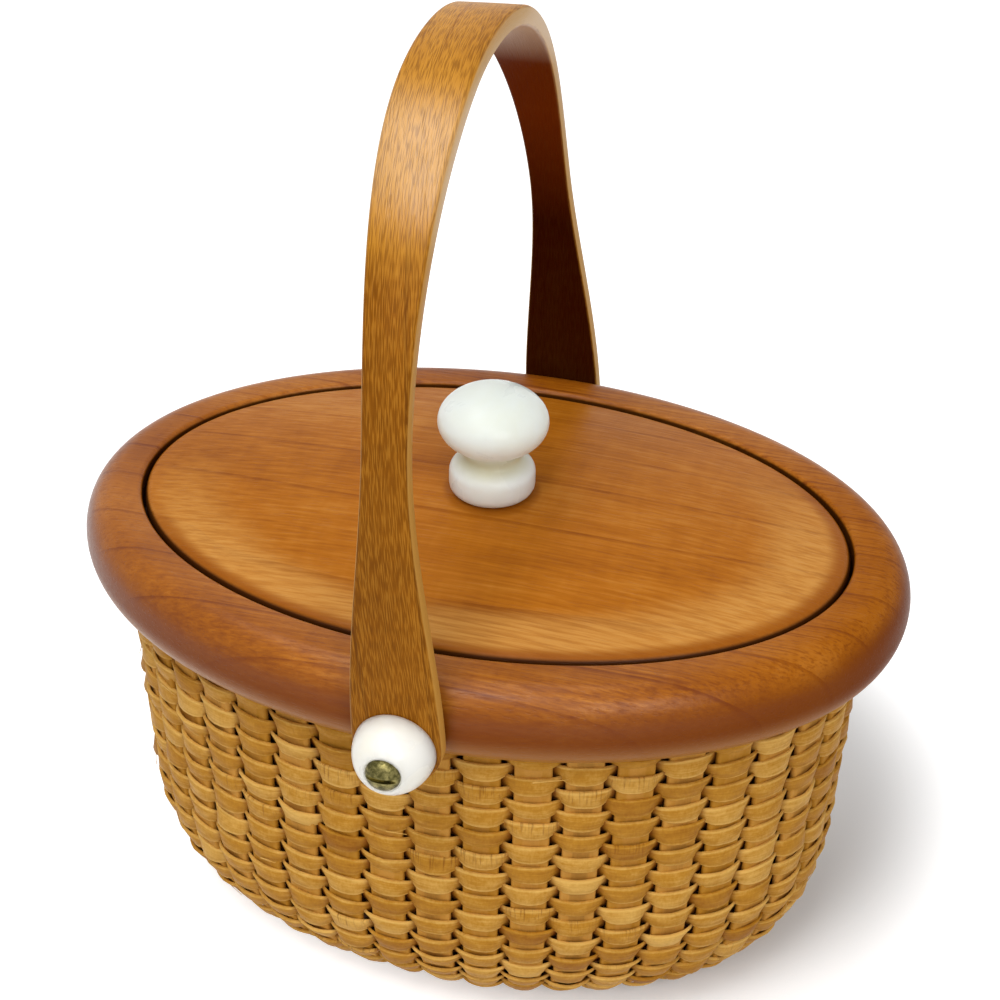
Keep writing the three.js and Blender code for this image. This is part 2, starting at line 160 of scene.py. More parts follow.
class WallSettings(bpy.types.PropertyGroup):
    top_inset: size("Top inset", 12.8, "How far the wall stands in from the rim at its top")
    bend_inset: size("Bend inset", 15.2, "How far the wall stands in where it starts to bend under")
    bend_height: size("Bend height", 47.5, "Height at which the wall starts to bend under")
    bend_reach: size("Bend reach", 28, "How far the bend comes in to the base")
    stave_width: size("Stave width", 9.4, "Width of a stave at the rim")
    stave_thickness: size("Stave thickness", 1.4, "Thickness of a stave")
    stave_crown: size("Stave crown", 0.65, "How far the staves' outer faces stand out to the cane")
    stave_rounding: size("Stave rounding", 0.9, "Rounding of the staves' edges")
    foot_gap: size("Foot gap", 1.5, "Gap between neighbouring staves at the base")
    groove_reach: size("Groove reach", 6, "How far a stave goes into the base")
    rim_reach: size("Rim reach", 4.5, "How far a stave goes into the rim")
    row_pitch: size("Row pitch", 3.76, "Height that each row of cane takes up the wall")
    first_row: size("First row", 2.5, "Height of the first row's middle up the wall")
    cane_height: size("Cane height", 5.3, "Width of the flat cane, which stands upright in the weave")
    cane_thickness: size("Cane thickness", 1.0, "Thickness of the flat cane")
    cane_swing: size("Cane swing", 1.35, "How far the cane's middle swings out and in around the staves")
    cane_bow: size("Cane bow", 0.75, "How far the cane bulges over the middle of a stave")
    cane_tuck: angle("Cane tuck", 17, "Lean of the cane between two staves, lower edge inward")
    cane_rounding: size("Cane rounding", 0.3, "Rounding of the cane's edges")
    steepness: factor("Steepness", 3.0, "How steeply the cane crosses between two staves")
    crispness: factor("Crispness", 3.5, "How sharply the cane bends at a stave's edges")
    unevenness: factor("Unevenness", 1.0, "How much rows wander, lean and differ in width")
    hair_depth: size("Hair depth", 0.08, "Half the thickness of a loose hair of cane")
    splinters: IntProperty(name="Splinters", description="Number of loose hairs of cane", default=22, min=1)
    seed: IntProperty(name="Seed", description="Fixes the weave's small differences", default=11)
    cane_light: colour("Light cane", (216, 170, 88), "Palest cane")
    cane_mid: colour("Middle cane", (178, 124, 35), "Usual colour of the cane")
    cane_dark: colour("Dark cane", (140, 85, 14), "Darkest cane")
    # Dark colour for the cane's cracks, and painted shade deep between the canes
    cane_crack_and_shade: colour("Recess", (104, 44, 4), "Colour deep between the canes")
    stave_colour: colour("Stave", (198, 143, 62), "Colour of the staves")


class WoodSettings(bpy.types.PropertyGroup):
    rim_nose: size("Rim nose", 9.2, "Depth of the rim's rounded outer side")
    rim_top_width: size("Rim top", (HALF_LENGTH - LID_HALF_LENGTH) / MM - 1.6, "Rim's width seen from above")
    rim_edge: size("Rim edge", 1.4, "Rounding of the rim's inner edge")
    rim_groove: size("Rim groove", 5, "Depth of the groove under the rim")
    ledge_width: size("Ledge", 6.4, "Width of the ledge that carries the lid")
    ledge_depth: size("Ledge depth", (RIM_TOP - LID_BOTTOM) / MM + 0.3, "Ledge's depth below the rim's top")
    lid_roll: size("Lid roll", 2.6, "Rounding of the lid's upper edge")
    base_round: size("Base round", 1.6, "Rounding of the base's edges")
    groove_depth: size("Groove depth", 6.5, "Depth of the groove round the base")
    groove_width: size("Groove width", 2.6, "Width of the grooves that hold the staves")
    lid_spread: size("Lid spread", 0.8, "How much nearer the lid's ends stand to the rim")
    lid_power: factor("Lid crown", 2.3, "How flat the lid's middle is before it falls to the edge")
    rim_light: colour("Rim light", (186, 118, 42), "Light grain of the rim")
    rim_mid: colour("Rim middle", (153, 86, 12), "Usual colour of the rim")
    rim_dark: colour("Rim dark", (112, 52, 5), "Dark grain of the rim")
    lid_light: colour("Lid light", (190, 124, 46), "Light grain of the lid")
    lid_mid: colour("Lid middle", (168, 98, 18), "Usual colour of the lid")
    lid_dark: colour("Lid dark", (136, 72, 8), "Dark grain of the lid")
    # Paler wood along the lid's edge: partly wear, partly a painted sheen
    lid_worn_and_sheen: colour("Lid worn", (198, 142, 70), "Paler wood where the lid's edge is worn")
    # Paler colour low on the rim's nose: a painted reflection of the floor
    rim_low_reflection: colour("Rim worn", (166, 110, 48), "Pale wood low on the rim's nose")
    # Painted shade in the gap between the lid and the rim
    gap_shade: colour("Gap", (34, 11, 3), "Dark line in the gap between the lid and the rim")
    base_light: colour("Base light", (176, 116, 62), "Light grain of the base")
    base_mid: colour("Base middle", (150, 92, 44), "Usual colour of the base")
    base_dark: colour("Base dark", (112, 62, 26), "Dark grain of the base")


class HandleSettings(bpy.types.PropertyGroup):
    thickness: size("Thickness", 5.2, "Thickness of the bent strip")
    gap: size("Gap", 0.8, "Gap between the handle and the rim at a pivot")
    rise: size("Rise", 145.2, "Height of the handle's crown above its pivots")
    end_width: size("End width", 22, "Width of the rounded ends")
    waist_width: size("Waist width", 10.8, "Width where the legs are narrowest")
    crown_width: size("Crown width", 17.8, "Width at the crown")
    waist_reach: size("Waist reach", 76, "Distance from a pivot to the waist, along the strip")
    crown_reach: size("Crown reach", 163, "Distance from a pivot to where the crown's full width starts")
    edge: size("Edge", 1.3, "Rounding of the strip's edges")
    lean: angle("Lean", -3.5, "Angle at which the handle stands at rest")
    side_power: factor("Side power", 2.16, "How square the arch's sides are")
    rise_power: factor("Rise power", 2.58, "How square the arch's crown is")
    wood_light: colour("Light", (200, 141, 50), "Light grain")
    wood_mid: colour("Middle", (138, 82, 12), "Usual colour")
    wood_dark: colour("Dark", (96, 52, 5), "Dark grain")
    # Pale wood: bare along the edges, and also used for a painted sheen and painted reflection
    wood_bare_and_sheen: colour("Pale", (208, 167, 106), "Bare wood along the edges")
    inner_stain: colour("Inner stain", (97, 33, 3), "Dark stain on the inner face")
    inner_deep: colour("Deep stain", (40, 0, 0), "Stain low on the inner face")
    # Pale colour under the crown: a painted reflection of the floor on the inner face
    inner_crown_reflection: colour("Faded stain", (196, 162, 132), "Stain rubbed off under the crown")


class TrimSettings(bpy.types.PropertyGroup):
    knob_foot_radius: size("Knob foot", 11.2, "Radius of the knob's foot")
    knob_foot_height: size("Knob foot height", 7.4, "Height of the knob's foot")
    knob_neck_radius: size("Knob neck", 6.75, "Radius of the knob's neck")
    knob_neck_height: size("Knob neck height", 10.6, "Height of the narrowest part of the neck")
    knob_head_height: size("Knob head", 17.6, "Height of the knob's flattened ball")
    cap_flat: size("Cap flat", 5.2, "Radius of the flat on a cap's top")
    cap_seat: size("Cap seat", 0.8, "Depth of the seat for a screw's head")
    screw_shank: size("Screw shank", 2, "Radius of a screw's shank")
    screw_point: size("Screw point", 3, "Length of a screw's point")
    screw_head: size("Screw head", 2.6, "Height of a screw's head")
    slot_width: size("Slot width", 1.2, "Width of a screw's slot")
    slot_depth: size("Slot depth", 1.2, "Depth of a screw's slot")
    knob_white: colour("Knob", (232, 241, 235), "White of the knob")
    cap_white: colour("Cap", (250, 244, 230), "Ivory white of the caps")
    brass_bright: colour("Bright brass", (140, 130, 82), "Rubbed brass")
    brass_dull: colour("Dull brass", (72, 68, 36), "Tarnished brass")


class StageSettings(bpy.types.PropertyGroup):
    azimuth: angle("Azimuth", 14.31, "Camera's angle round the basket")
    elevation: angle("Elevation", 33.24, "Camera's angle above the floor")
    roll: angle("Roll", 1.246, "Camera's tilt")
    distance: size("Distance", 570.47, "Camera's distance from the basket's middle")
    across: size("Across", 2.733, "Camera's shift to the right")
    up: size("Up", 27.297, "Camera's shift upwards")
    aim_height: size("Aim height", 100, "Height of the middle that the camera looks at")
    focal: FloatProperty(
        name="Focal length", description="Camera's lens on a 36 mm wide sensor", default=76.27, unit="CAMERA",
    )
    floor_colour: colour("Floor", (233, 233, 233), "Pale floor")
    fill: factor("Fill", 0.36, "Light from all around")
    front: power("Front", 4.0, "Power of the lamp in front")
    top: power("Top", 4.7, "Power of the lamp above on the left")
    low: power("Low", 4.5, "Power of the lamp on the camera's right")
    left: power("Left", 1.5, "Power of the lamp on the camera's left")


# Shape helpers


def oval(half_length, half_width, height, steps=OVAL_STEPS):
    turn = np.linspace(0, 2 * math.pi, steps, endpoint=False)
    return np.stack([half_length * np.cos(turn), half_width * np.sin(turn), np.full(steps, height)], axis=1)


def ovals(half_length, half_width, outline):
    """Ovals along an outline of (inset, height)."""
    return [oval(half_length - inset, half_width - inset, height) for inset, height in outline]


def unit(vectors):
    return vectors / np.linalg.norm(vectors, axis=-1, keepdims=True)


def travelled(*axes):
    """Distances from the start along a line of points, given by their coordinates."""
    steps = np.sqrt(sum(np.diff(axis) ** 2 for axis in axes))
    return np.concatenate([[0], np.cumsum(steps)])


def softened(corners, closed=False):
    """An outline with its corners rounded. Each corner is (across, up, radius)."""
    points = []
    count = len(corners)
    for k, (across, up, radius) in enumerate(corners):
        corner = np.array((across, up))
        at_end = not closed and k in (0, count - 1)
        if radius == 0 or at_end:
            points.append(corner)
            continue
        before = unit(np.array(corners[k - 1][:2]) - corner)
        after = unit(np.array(corners[(k + 1) % count][:2]) - corner)
        half = math.acos(np.clip(before @ after, -1, 1)) / 2
        centre = corner + unit(before + after) * radius / math.sin(half)
        reach = radius / math.tan(half)
        start, end = corner + before * reach - centre, corner + after * reach - centre
        sweep = math.pi - 2 * half
        for share in np.linspace(0, 1, CORNER_STEPS + 1):
            arc = start * math.sin((1 - share) * sweep) + end * math.sin(share * sweep)
            points.append(centre + arc / math.sin(sweep))
    return np.array(points)


def lofted(name, loops, tips=None):
    """A closed mesh over equal loops of points: with a fan to a tip at each end, or joined in a ring."""
    loops = np.asarray(loops)
    rows, count = loops.shape[:2]
    points = loops.reshape(-1, 3)
    index = np.arange(rows * count).reshape(rows, count)
    faces = []
    for k in range(rows - 1 if tips else rows):
        low, high = index[k], index[(k + 1) % rows]
        faces += np.stack([low, np.roll(low, -1), np.roll(high, -1), high], axis=1).tolist()
    if tips:
        points = np.concatenate([points, tips])
        first, last = len(points) - 2, len(points) - 1
        faces += [[first, high, low] for low, high in zip(index[0], np.roll(index[0], -1))]
        faces += [[last, low, high] for low, high in zip(index[-1], np.roll(index[-1], -1))]
    mesh = bpy.data.meshes.new(name)
    mesh.from_pydata(points.tolist(), [], faces)
    return tidied(mesh)


def tidied(mesh):
    """Points the faces outwards, and shades them smooth apart from creases."""
    work = bmesh.new()
    work.from_mesh(mesh)
    bmesh.ops.remove_doubles(work, verts=work.verts, dist=1e-7)
    bmesh.ops.recalc_face_normals(work, faces=work.faces)
    work.to_mesh(mesh)
    work.free()
    mesh.shade_smooth()
    mesh.set_sharp_from_angle(angle=CREASE)
    return mesh


def turned(name, corners):
    """A lathe-turned mesh about Z from corners of (radius, height, rounding) between two on the axis."""
    outline = softened(corners)
    tips = [(0, 0, outline[0][1]), (0, 0, outline[-1][1])]
    return lofted(name, [oval(radius, radius, height, ROUND_STEPS) for radius, height in outline[1:-1]], tips)


def placed(name, data):
    thing = bpy.data.objects.new(name, data)
    bpy.context.scene.collection.objects.link(thing)
    return thing


def evaluated(thing, name):
    """The mesh that an object's modifiers make of it. The object itself goes."""
    graph = bpy.context.evaluated_depsgraph_get()
    mesh = bpy.data.meshes.new_from_object(
        thing.evaluated_get(graph), preserve_all_data_layers=True, depsgraph=graph,
    )
    bpy.data.objects.remove(thing)
    mesh.name = name
    return mesh


def finished(name, mesh, material, body, slot, *nodes):
    """Adds a piece that rides on a body and stands for the frame's nodes."""
    mesh.materials.append(material)
    piece = placed(name, mesh)
    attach(piece, body)
    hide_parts(*nodes)


# Node helpers


class Nodes:
    """Adds nodes to a tree. An input is given by its name or identifier, as a value or an output to link."""

    def __init__(self, tree):
        self.tree = tree

    def add(self, kind, inputs=None, **settings):
        node = self.tree.nodes.new(kind)
        for key, value in settings.items():
            setattr(node, key, value)
        for key, value in (inputs or {}).items():
            socket = self.socket(node.inputs, key)
            if isinstance(value, bpy.types.NodeSocket):
                self.tree.links.new(value, socket)
            else:
                socket.default_value = value
        return node

    @staticmethod
    def socket(sockets, key):
        for match in ("identifier", "name"):
            for socket in sockets:
                if getattr(socket, match) == key and socket.enabled:
                    return socket
        raise KeyError(f"no socket {key} among {[s.identifier for s in sockets]}")

    def math(self, operation, first, *others):
        """Applies an operation to one value, or joins several by it from the first to the last."""
        if not others:
            return self.add("ShaderNodeMath", {"Value": first}, operation=operation).outputs[0]
        for other in others:
            inputs = {"Value": first, "Value_001": other}
            first = self.add("ShaderNodeMath", inputs, operation=operation).outputs[0]
        return first

    def plus(self, *values):
        return self.math("ADD", *values)

    def minus(self, first, second):
        return self.math("SUBTRACT", first, second)

    def times(self, *values):
        return self.math("MULTIPLY", *values)

    def most(self, *values):
        return self.math("MAXIMUM", *values)

    def least(self, *values):
        return self.math("MINIMUM", *values)

    def vector(self, operation, **inputs):
        return self.add("ShaderNodeVectorMath", inputs, operation=operation).outputs

    def split(self, vector):
        return self.add("ShaderNodeSeparateXYZ", {"Vector": vector}).outputs


class Finish(Nodes):
    """A material with one Principled shader, whose base colour is laid on in coats."""

    def __init__(self, name, **constants):
        self.material = bpy.data.materials.new(name)
        self.material.use_nodes = True
        super().__init__(self.material.node_tree)
        self.shader = self.tree.nodes["Principled BSDF"]
        self.shade = None
        for key, value in constants.items():
            self.shader_input(key).default_value = value

    def shader_input(self, key):
        return self.shader.inputs[key.replace("_", " ").title().replace("Ior", "IOR")]

    def paint(self, **sources):
        """Links the shader's inputs, with the coats as its base colour, and gives the material."""
        if self.shade:
            sources["base_color"] = self.shade
        for key, source in sources.items():
            self.tree.links.new(source, self.shader_input(key))
        return self.material

    def object_place(self):
        return self.add("ShaderNodeTexCoord").outputs["Object"]

    def attribute(self, name, output="Fac"):
        return self.add("ShaderNodeAttribute", attribute_name=name).outputs[output]

    def place(self, vector, scale=(1, 1, 1), location=(0, 0, 0), turn=0.0):
        inputs = {"Vector": vector, "Location": location, "Rotation": (0, 0, turn), "Scale": scale}
        return self.add("ShaderNodeMapping", inputs).outputs[0]

    def noise(self, vector, scale, detail=2.0, roughness=0.5, distortion=0.0, turn=0.0):
        inputs = {
            "Vector": self.place(vector, scale, turn=turn), "Scale": 1.0, "Detail": detail,
            "Roughness": roughness, "Distortion": distortion,
        }
        return self.add("ShaderNodeTexNoise", inputs).outputs[0]

    def level(self, value, low, high, start=0.0, end=1.0):
        """Eases from a start to an end while a value goes from low to high."""
        inputs = {"Value": value, "From Min": low, "From Max": high, "To Min": start, "To Max": end}
        return self.add("ShaderNodeMapRange", inputs, interpolation_type="SMOOTHSTEP").outputs[0]

    def reach(self, place, half_length=1.0, half_width=1.0):
        """How far out a place is in an oval: one on the oval itself."""
        share = self.place(place, (1 / half_length, 1 / half_width, 0))
        return self.vector("LENGTH", Vector=share)["Value"]

    def ramp(self, value, *stops):
        node = self.add("ShaderNodeValToRGB", {"Fac": value})
        elements = node.color_ramp.elements
        while len(elements) < len(stops):
            elements.new(0.5)
        for element, (position, shade) in zip(elements, stops):
            element.position = position
            element.color = (*shade, 1)
        return node.outputs[0]

    def coat(self, share, shade):
        """Lays a colour over the coats so far."""
        over = shade if isinstance(shade, bpy.types.NodeSocket) else (*shade, 1)
        inputs = {"Factor_Float": share, "A_Color": self.shade, "B_Color": over}
        node = self.add("ShaderNodeMix", inputs, data_type="RGBA")
        self.shade = self.socket(node.outputs, "Result_Color")

    def bump(self, height, depth):
        return self.add("ShaderNodeBump", {"Height": height, "Distance": depth, "Strength": 1.0}).outputs[0]


def strip_tree():
    """Geometry Nodes that sweep a flat strip with rounded edges along lines of points.

    Each point of a line holds side and out, the strip's two directions there, half_width and half_depth
    along them, and along, its distance from the line's start. The strip gets grain, which holds each
    point's place along, across and through the strip.
    """
    name = "Flat strip"
    if name in bpy.data.node_groups:
        return bpy.data.node_groups[name]
    tree = bpy.data.node_groups.new(name, "GeometryNodeTree")
    for label, kind in (("Lines", "Geometry"), ("Rounding", "Float"), ("Section points", "Int")):
        tree.interface.new_socket(name=label, in_out="INPUT", socket_type="NodeSocket" + kind)
    tree.interface.new_socket(name="Strip", in_out="OUTPUT", socket_type="NodeSocketGeometry")
    nodes = Nodes(tree)
    given = nodes.add("NodeGroupInput").outputs
    position = nodes.add("GeometryNodeInputPosition").outputs[0]

    def stored(geometry, label, value):
        inputs = {"Geometry": geometry, "Name": label, "Value": value}
        return nodes.add("GeometryNodeStoreNamedAttribute", inputs, data_type="FLOAT_VECTOR").outputs[0]

    def held(label, kind="FLOAT"):
        return nodes.add("GeometryNodeInputNamedAttribute", {"Name": label}, data_type=kind).outputs[0]

    def held_vector(label):
        return held(label, "FLOAT_VECTOR")

    lines = stored(given["Lines"], "centre", position)
    curve = nodes.add("GeometryNodeMeshToCurve", {"Mesh": lines}).outputs[0]
    circle = {"Resolution": given["Section points"], "Radius": 1.0}
    section = nodes.add("GeometryNodeCurvePrimitiveCircle", circle).outputs[0]
    ring = stored(section, "ring", position)
    inputs = {"Curve": curve, "Profile Curve": ring, "Scale": MM, "Fill Caps": True}
    sweep = nodes.add("GeometryNodeCurveToMesh", inputs).outputs[0]

    def reach(share, half):
        """How far a point of the unit circle goes out on a section whose corners are rounded."""
        edge = nodes.least(given["Rounding"], held("half_width"), held("half_depth"))
        corner = nodes.most(nodes.least(nodes.times(share, 1000.0), 1.0), -1.0)
        return nodes.plus(nodes.times(corner, nodes.minus(held(half), edge)), nodes.times(share, edge))

    shares = nodes.split(held_vector("ring"))
    across, through = reach(shares[0], "half_width"), reach(shares[1], "half_depth")
    sideways = nodes.vector("SCALE", Vector=held_vector("side"), Scale=across)[0]
    outwards = nodes.vector("SCALE", Vector=held_vector("out"), Scale=through)[0]
    offset = nodes.vector("ADD", Vector=sideways, Vector_001=outwards)[0]
    place = nodes.vector("ADD", Vector=held_vector("centre"), Vector_001=offset)[0]
    grain = nodes.add("ShaderNodeCombineXYZ", {"X": held("along"), "Y": across, "Z": through}).outputs[0]
    marked = stored(sweep, "grain", grain)
    strip = nodes.add("GeometryNodeSetPosition", {"Geometry": marked, "Position": place}).outputs[0]
    smooth = nodes.add("GeometryNodeSetShadeSmooth", {"Geometry": strip}).outputs[0]
    nodes.add("NodeGroupOutput", {"Strip": smooth})
    return tree


def line_mesh(name, lines):
    """Edges along each line, with the lines' other values as attributes of their points."""
    mesh = bpy.data.meshes.new(name)
    points = np.concatenate([line["centre"] for line in lines])
    edges = []
    start = 0
    for line in lines:
        count = len(line["centre"])
        edges += [(start + k, start + k + 1) for k in range(count - 1)]
        start += count
    mesh.from_pydata(points.tolist(), edges, [])
    for key in lines[0].keys() - {"centre"}:
        values = np.concatenate([line[key] for line in lines]).astype(np.float32)
        kind, field = ("FLOAT_VECTOR", "vector") if values.ndim == 2 else ("FLOAT", "value")
        mesh.attributes.new(key, kind, "POINT").data.foreach_set(field, values.ravel())
    return mesh


def swept(name, lines, rounding, section_points):
    """The finished mesh of strips along the lines."""
    tree = strip_tree()
    path = placed(name + "_path", line_mesh(name + "_path", lines))
    modifier = path.modifiers.new("Flat strip", "NODES")
    modifier.node_group = tree
    values = {"Rounding": rounding, "Section points": section_points}
    for socket in tree.interface.items_tree:
        if socket.name in values:
            modifier[socket.identifier] = values[socket.name]
    mesh = evaluated(path, name)
    if not mesh.polygons:
        raise RuntimeError(f"{name} came out empty")
    for extra in ("centre", "side", "out", "half_width", "half_depth", "along"):
        held = mesh.attributes.get(extra)
        if held:
            mesh.attributes.remove(held)
    return mesh


# Finishes


def tinted(shade, *shares):
    return tuple(channel * share for channel, share in zip(shade, shares))


def wood_tone(finish, grain, settings, wood, line_place, figure=1.0, fineness=1000):
    """Lays on planed wood whose grain runs along its place's first axis. Gives its streaks and height."""
    level, noise, minus, times = finish.level, finish.noise, finish.minus, finish.times
    light, mid, dark = (getattr(settings, f"{wood}_{tone}") for tone in ("light", "mid", "dark"))
    broad = noise(grain, (7, 30, 30), distortion=0.5)
    inputs = {
        "Vector": finish.place(grain, (0.12, 1, 1), line_place),
        "Scale": 22.0, "Distortion": 5.0, "Detail": 3.0, "Detail Scale": 0.5, "Detail Roughness": 0.55,
    }
    rings = finish.add(
        "ShaderNodeTexWave", inputs, wave_type="RINGS", rings_direction="X", wave_profile="SAW",
    ).outputs["Fac"]
    streaks = noise(grain, (45, fineness, fineness), 4, 0.6, 0.1)
    pores = level(noise(grain, (170, 2 * fineness, 2 * fineness), 1), 0.58, 0.72)
    curl = noise(grain, (300, 70, 70), turn=0.25)
    tone = finish.plus(
        times(minus(broad, 0.5), 0.6),
        times(minus(streaks, 0.5), figure, 0.6),
        times(minus(curl, 0.5), 0.14),
        times(level(rings, 0.9, 0.99), -0.14),
        0.5,
    )
    finish.shade = finish.ramp(tone, (0.25, dark), (0.5, mid), (0.75, light))
    finish.coat(times(pores, figure, 0.24), dark)
    return streaks, minus(streaks, times(pores, 0.8))


def rim_finish(wood):
    finish = Finish("rim_cherry")
    level, noise, times, coat = finish.level, finish.noise, finish.times, finish.coat
    place = finish.object_place()
    along, _, rise = finish.split(place)
    sideways = finish.math("ABSOLUTE", along)
    figure = level(sideways, HALF_LENGTH * 0.4, HALF_LENGTH * 0.85, 1.0, 0.35)
    streaks, height = wood_tone(finish, place, wood, "rim", (0.01, 0.16, -0.085), figure)

    def below(near, far, start=0.0, end=1.0):
        """Eases from a start to an end between two depths below the rim's top, in millimetres."""
        return level(rise, RIM_TOP - near * MM, RIM_TOP - far * MM, start, end)

    ticks = level(noise(place, (45, 1300, 1300), 2, 0.55), 0.5, 0.66)
    coat(times(ticks, level(along, 0.0, 0.06, 0.25, 0.5), below(5, 2)), wood.rim_dark)
    coat(level(noise(place, (420, 1300, 1300)), 0.52, 0.68, 0.0, 0.32), wood.rim_dark)
    # Painted shade: darker down the nose, below the top
    coat(below(2, 9, 0.0, 0.85), wood.rim_dark)
    # Painted reflection of the floor: paler low on the nose
    coat(below(12, 20, 0.0, 0.7), wood.rim_low_reflection)
    nose = times(below(1, 6, 0.0, 0.9), below(13, 19, 1.0, 0.2))
    coat(times(level(sideways, HALF_LENGTH * 0.78, HALF_LENGTH * 0.97), nose), wood.rim_dark)
    reach = finish.reach(place, HALF_LENGTH - wood.rim_top_width, HALF_WIDTH - wood.rim_top_width)
    # Painted shade on the rim's inner edge, falling into the gap
    coat(times(level(reach, 1.008, 1.0), below(0.5, 1.3, 0.0, 0.85)), wood.gap_shade)
    polish = times(level(along, 0.04, 0.11, 0.2, 0.03), below(7, 12, 1.0, 0.35))
    roughness = level(streaks, 0.3, 0.7, 0.36, 0.27)
    normal = finish.bump(height, 0.04 * MM)
    return finish.paint(specular_ior_level=polish, roughness=roughness, normal=normal)


def lid_finish(wood):
    finish = Finish("lid_cherry", specular_ior_level=0.07)
    level, times, coat = finish.level, finish.times, finish.coat
    place = finish.object_place()
    along, away, rise = finish.split(place)
    streaks, height = wood_tone(finish, place, wood, "lid", (-0.02, 0.05, -0.075))
    reach = finish.reach(place, LID_HALF_LENGTH, LID_HALF_WIDTH)
    # A paler band along the lid's near edge: partly wear, partly a painted sheen
    ragged = finish.minus(finish.noise(place, (30, 80, 80), 3), 0.5)
    edge = finish.plus(reach, times(ragged, 0.12))
    near = level(finish.minus(away, times(along, 0.25)), 0.03, -0.025)
    band = times(level(edge, 0.72, 0.87), level(reach, 0.99, 0.94, 0.3, 1.0), near)
    coat(times(band, level(streaks, 0.35, 0.65, 0.4, 0.8)), wood.lid_worn_and_sheen)
    # Painted shade on the rolled edge at the front and the right end
    front = finish.most(level(away, -0.015, -0.04), level(along, 0.06, 0.085))
    coat(times(level(reach, 0.935, 0.985, 0.0, 0.8), front), wood.lid_dark)
    # Painted shade low on the lid's edge, falling into the gap
    coat(level(rise, RIM_TOP - 0.5 * MM, RIM_TOP - 1.3 * MM, 0.0, 0.9), wood.gap_shade)
    # Painted shade round the knob's foot
    coat(level(finish.reach(place), 13.5 * MM, 11.4 * MM, 0.0, 0.55), wood.lid_dark)
    roughness = level(streaks, 0.3, 0.7, 0.38, 0.28)
    return finish.paint(roughness=roughness, normal=finish.bump(height, 0.04 * MM))


def base_finish(wood):
    finish = Finish("base_wood", specular_ior_level=0.2)
    streaks, height = wood_tone(finish, finish.object_place(), wood, "base", (0, 0.02, -0.05))
    roughness = finish.level(streaks, 0.3, 0.7, 0.52, 0.4)
    return finish.paint(roughness=roughness, normal=finish.bump(height, 0.05 * MM))


def handle_finish(handle):
    """Bent wood with short dark dashes, bare edges and a dark stain on its inner face, and painted light: a
    lighter upper arch, a pale sheen below the crown, and painted reflection on the side faces and under the
    crown.
    """
    finish = Finish("handle_wood")
    level, times, coat = finish.level, finish.times, finish.coat
    grain = finish.attribute("grain", "Vector")
    slant = finish.place(grain, turn=-0.06)
    _, height = wood_tone(finish, slant, handle, "wood", (0, 0.03, 0.02), figure=0.25, fineness=1500)
    _, away, high = finish.split(finish.object_place())
    rise = finish.math("DIVIDE", finish.minus(high, RIM_TOP), HANDLE_TOP - RIM_TOP)
    # Painted light: the upper part of the arch is lighter
    upper = times(level(rise, 0.7, 0.82), level(rise, 0.955, 1.0, 1.0, 0.5))
    coat(times(upper, 0.55), handle.wood_light)
    # Painted sheen: pale just below the crown
    coat(times(level(rise, 0.79, 0.87), level(rise, 0.92, 0.975, 1.0, 0.0), 0.34), handle.wood_bare_and_sheen)
    fibres = finish.noise(slant, (260, 4200, 4200), 0)
    coat(times(level(fibres, 0.47, 0.66), level(rise, 0.4, 0.75, 0.36, 0.46)), handle.wood_dark)
    coat(level(fibres, 0.49, 0.36, 0.0, 0.24), handle.wood_light)
    across = finish.split(finish.attribute("ring", "Vector"))[0]
    # Painted reflection on the side faces: lighter everywhere, paler high up, on the back leg and along one
    # side, where the edge is also partly bare wood
    rubbed = finish.most(level(upper, 0.2, 1.0, 0.2, 0.75), level(away, 0.0, 0.04, 0.0, 0.7))
    flank = level(finish.math("ABSOLUTE", across), 0.82, 0.97)
    coat(times(flank, 0.8), handle.wood_light)
    coat(finish.most(times(flank, rubbed), level(across, 0.74, 0.86, 0.0, 0.8)), handle.wood_bare_and_sheen)
    # Dark stain on the inner face, deepest low down, with a painted reflection under the crown
    stain = finish.ramp(
        rise, (0.36, handle.inner_deep), (0.64, handle.inner_stain), (0.78, handle.inner_stain),
        (0.91, handle.inner_crown_reflection),
    )
    inner = level(finish.split(grain)[2], -handle.thickness * 0.36, -handle.thickness * 0.47)
    coat(times(inner, 0.95), stain)
    outer = finish.minus(1.0, times(inner, 0.9))
    polish = times(level(rise, 0.76, 0.88, 0.05, 0.62), level(rise, 0.91, 0.97, 1.0, 0.1), outer)
    roughness = level(rise, 0.4, 0.7, 0.5, 0.36)
    normal = finish.bump(finish.minus(height, fibres), 0.05 * MM)
    return finish.paint(specular_ior_level=polish, roughness=roughness, normal=normal)


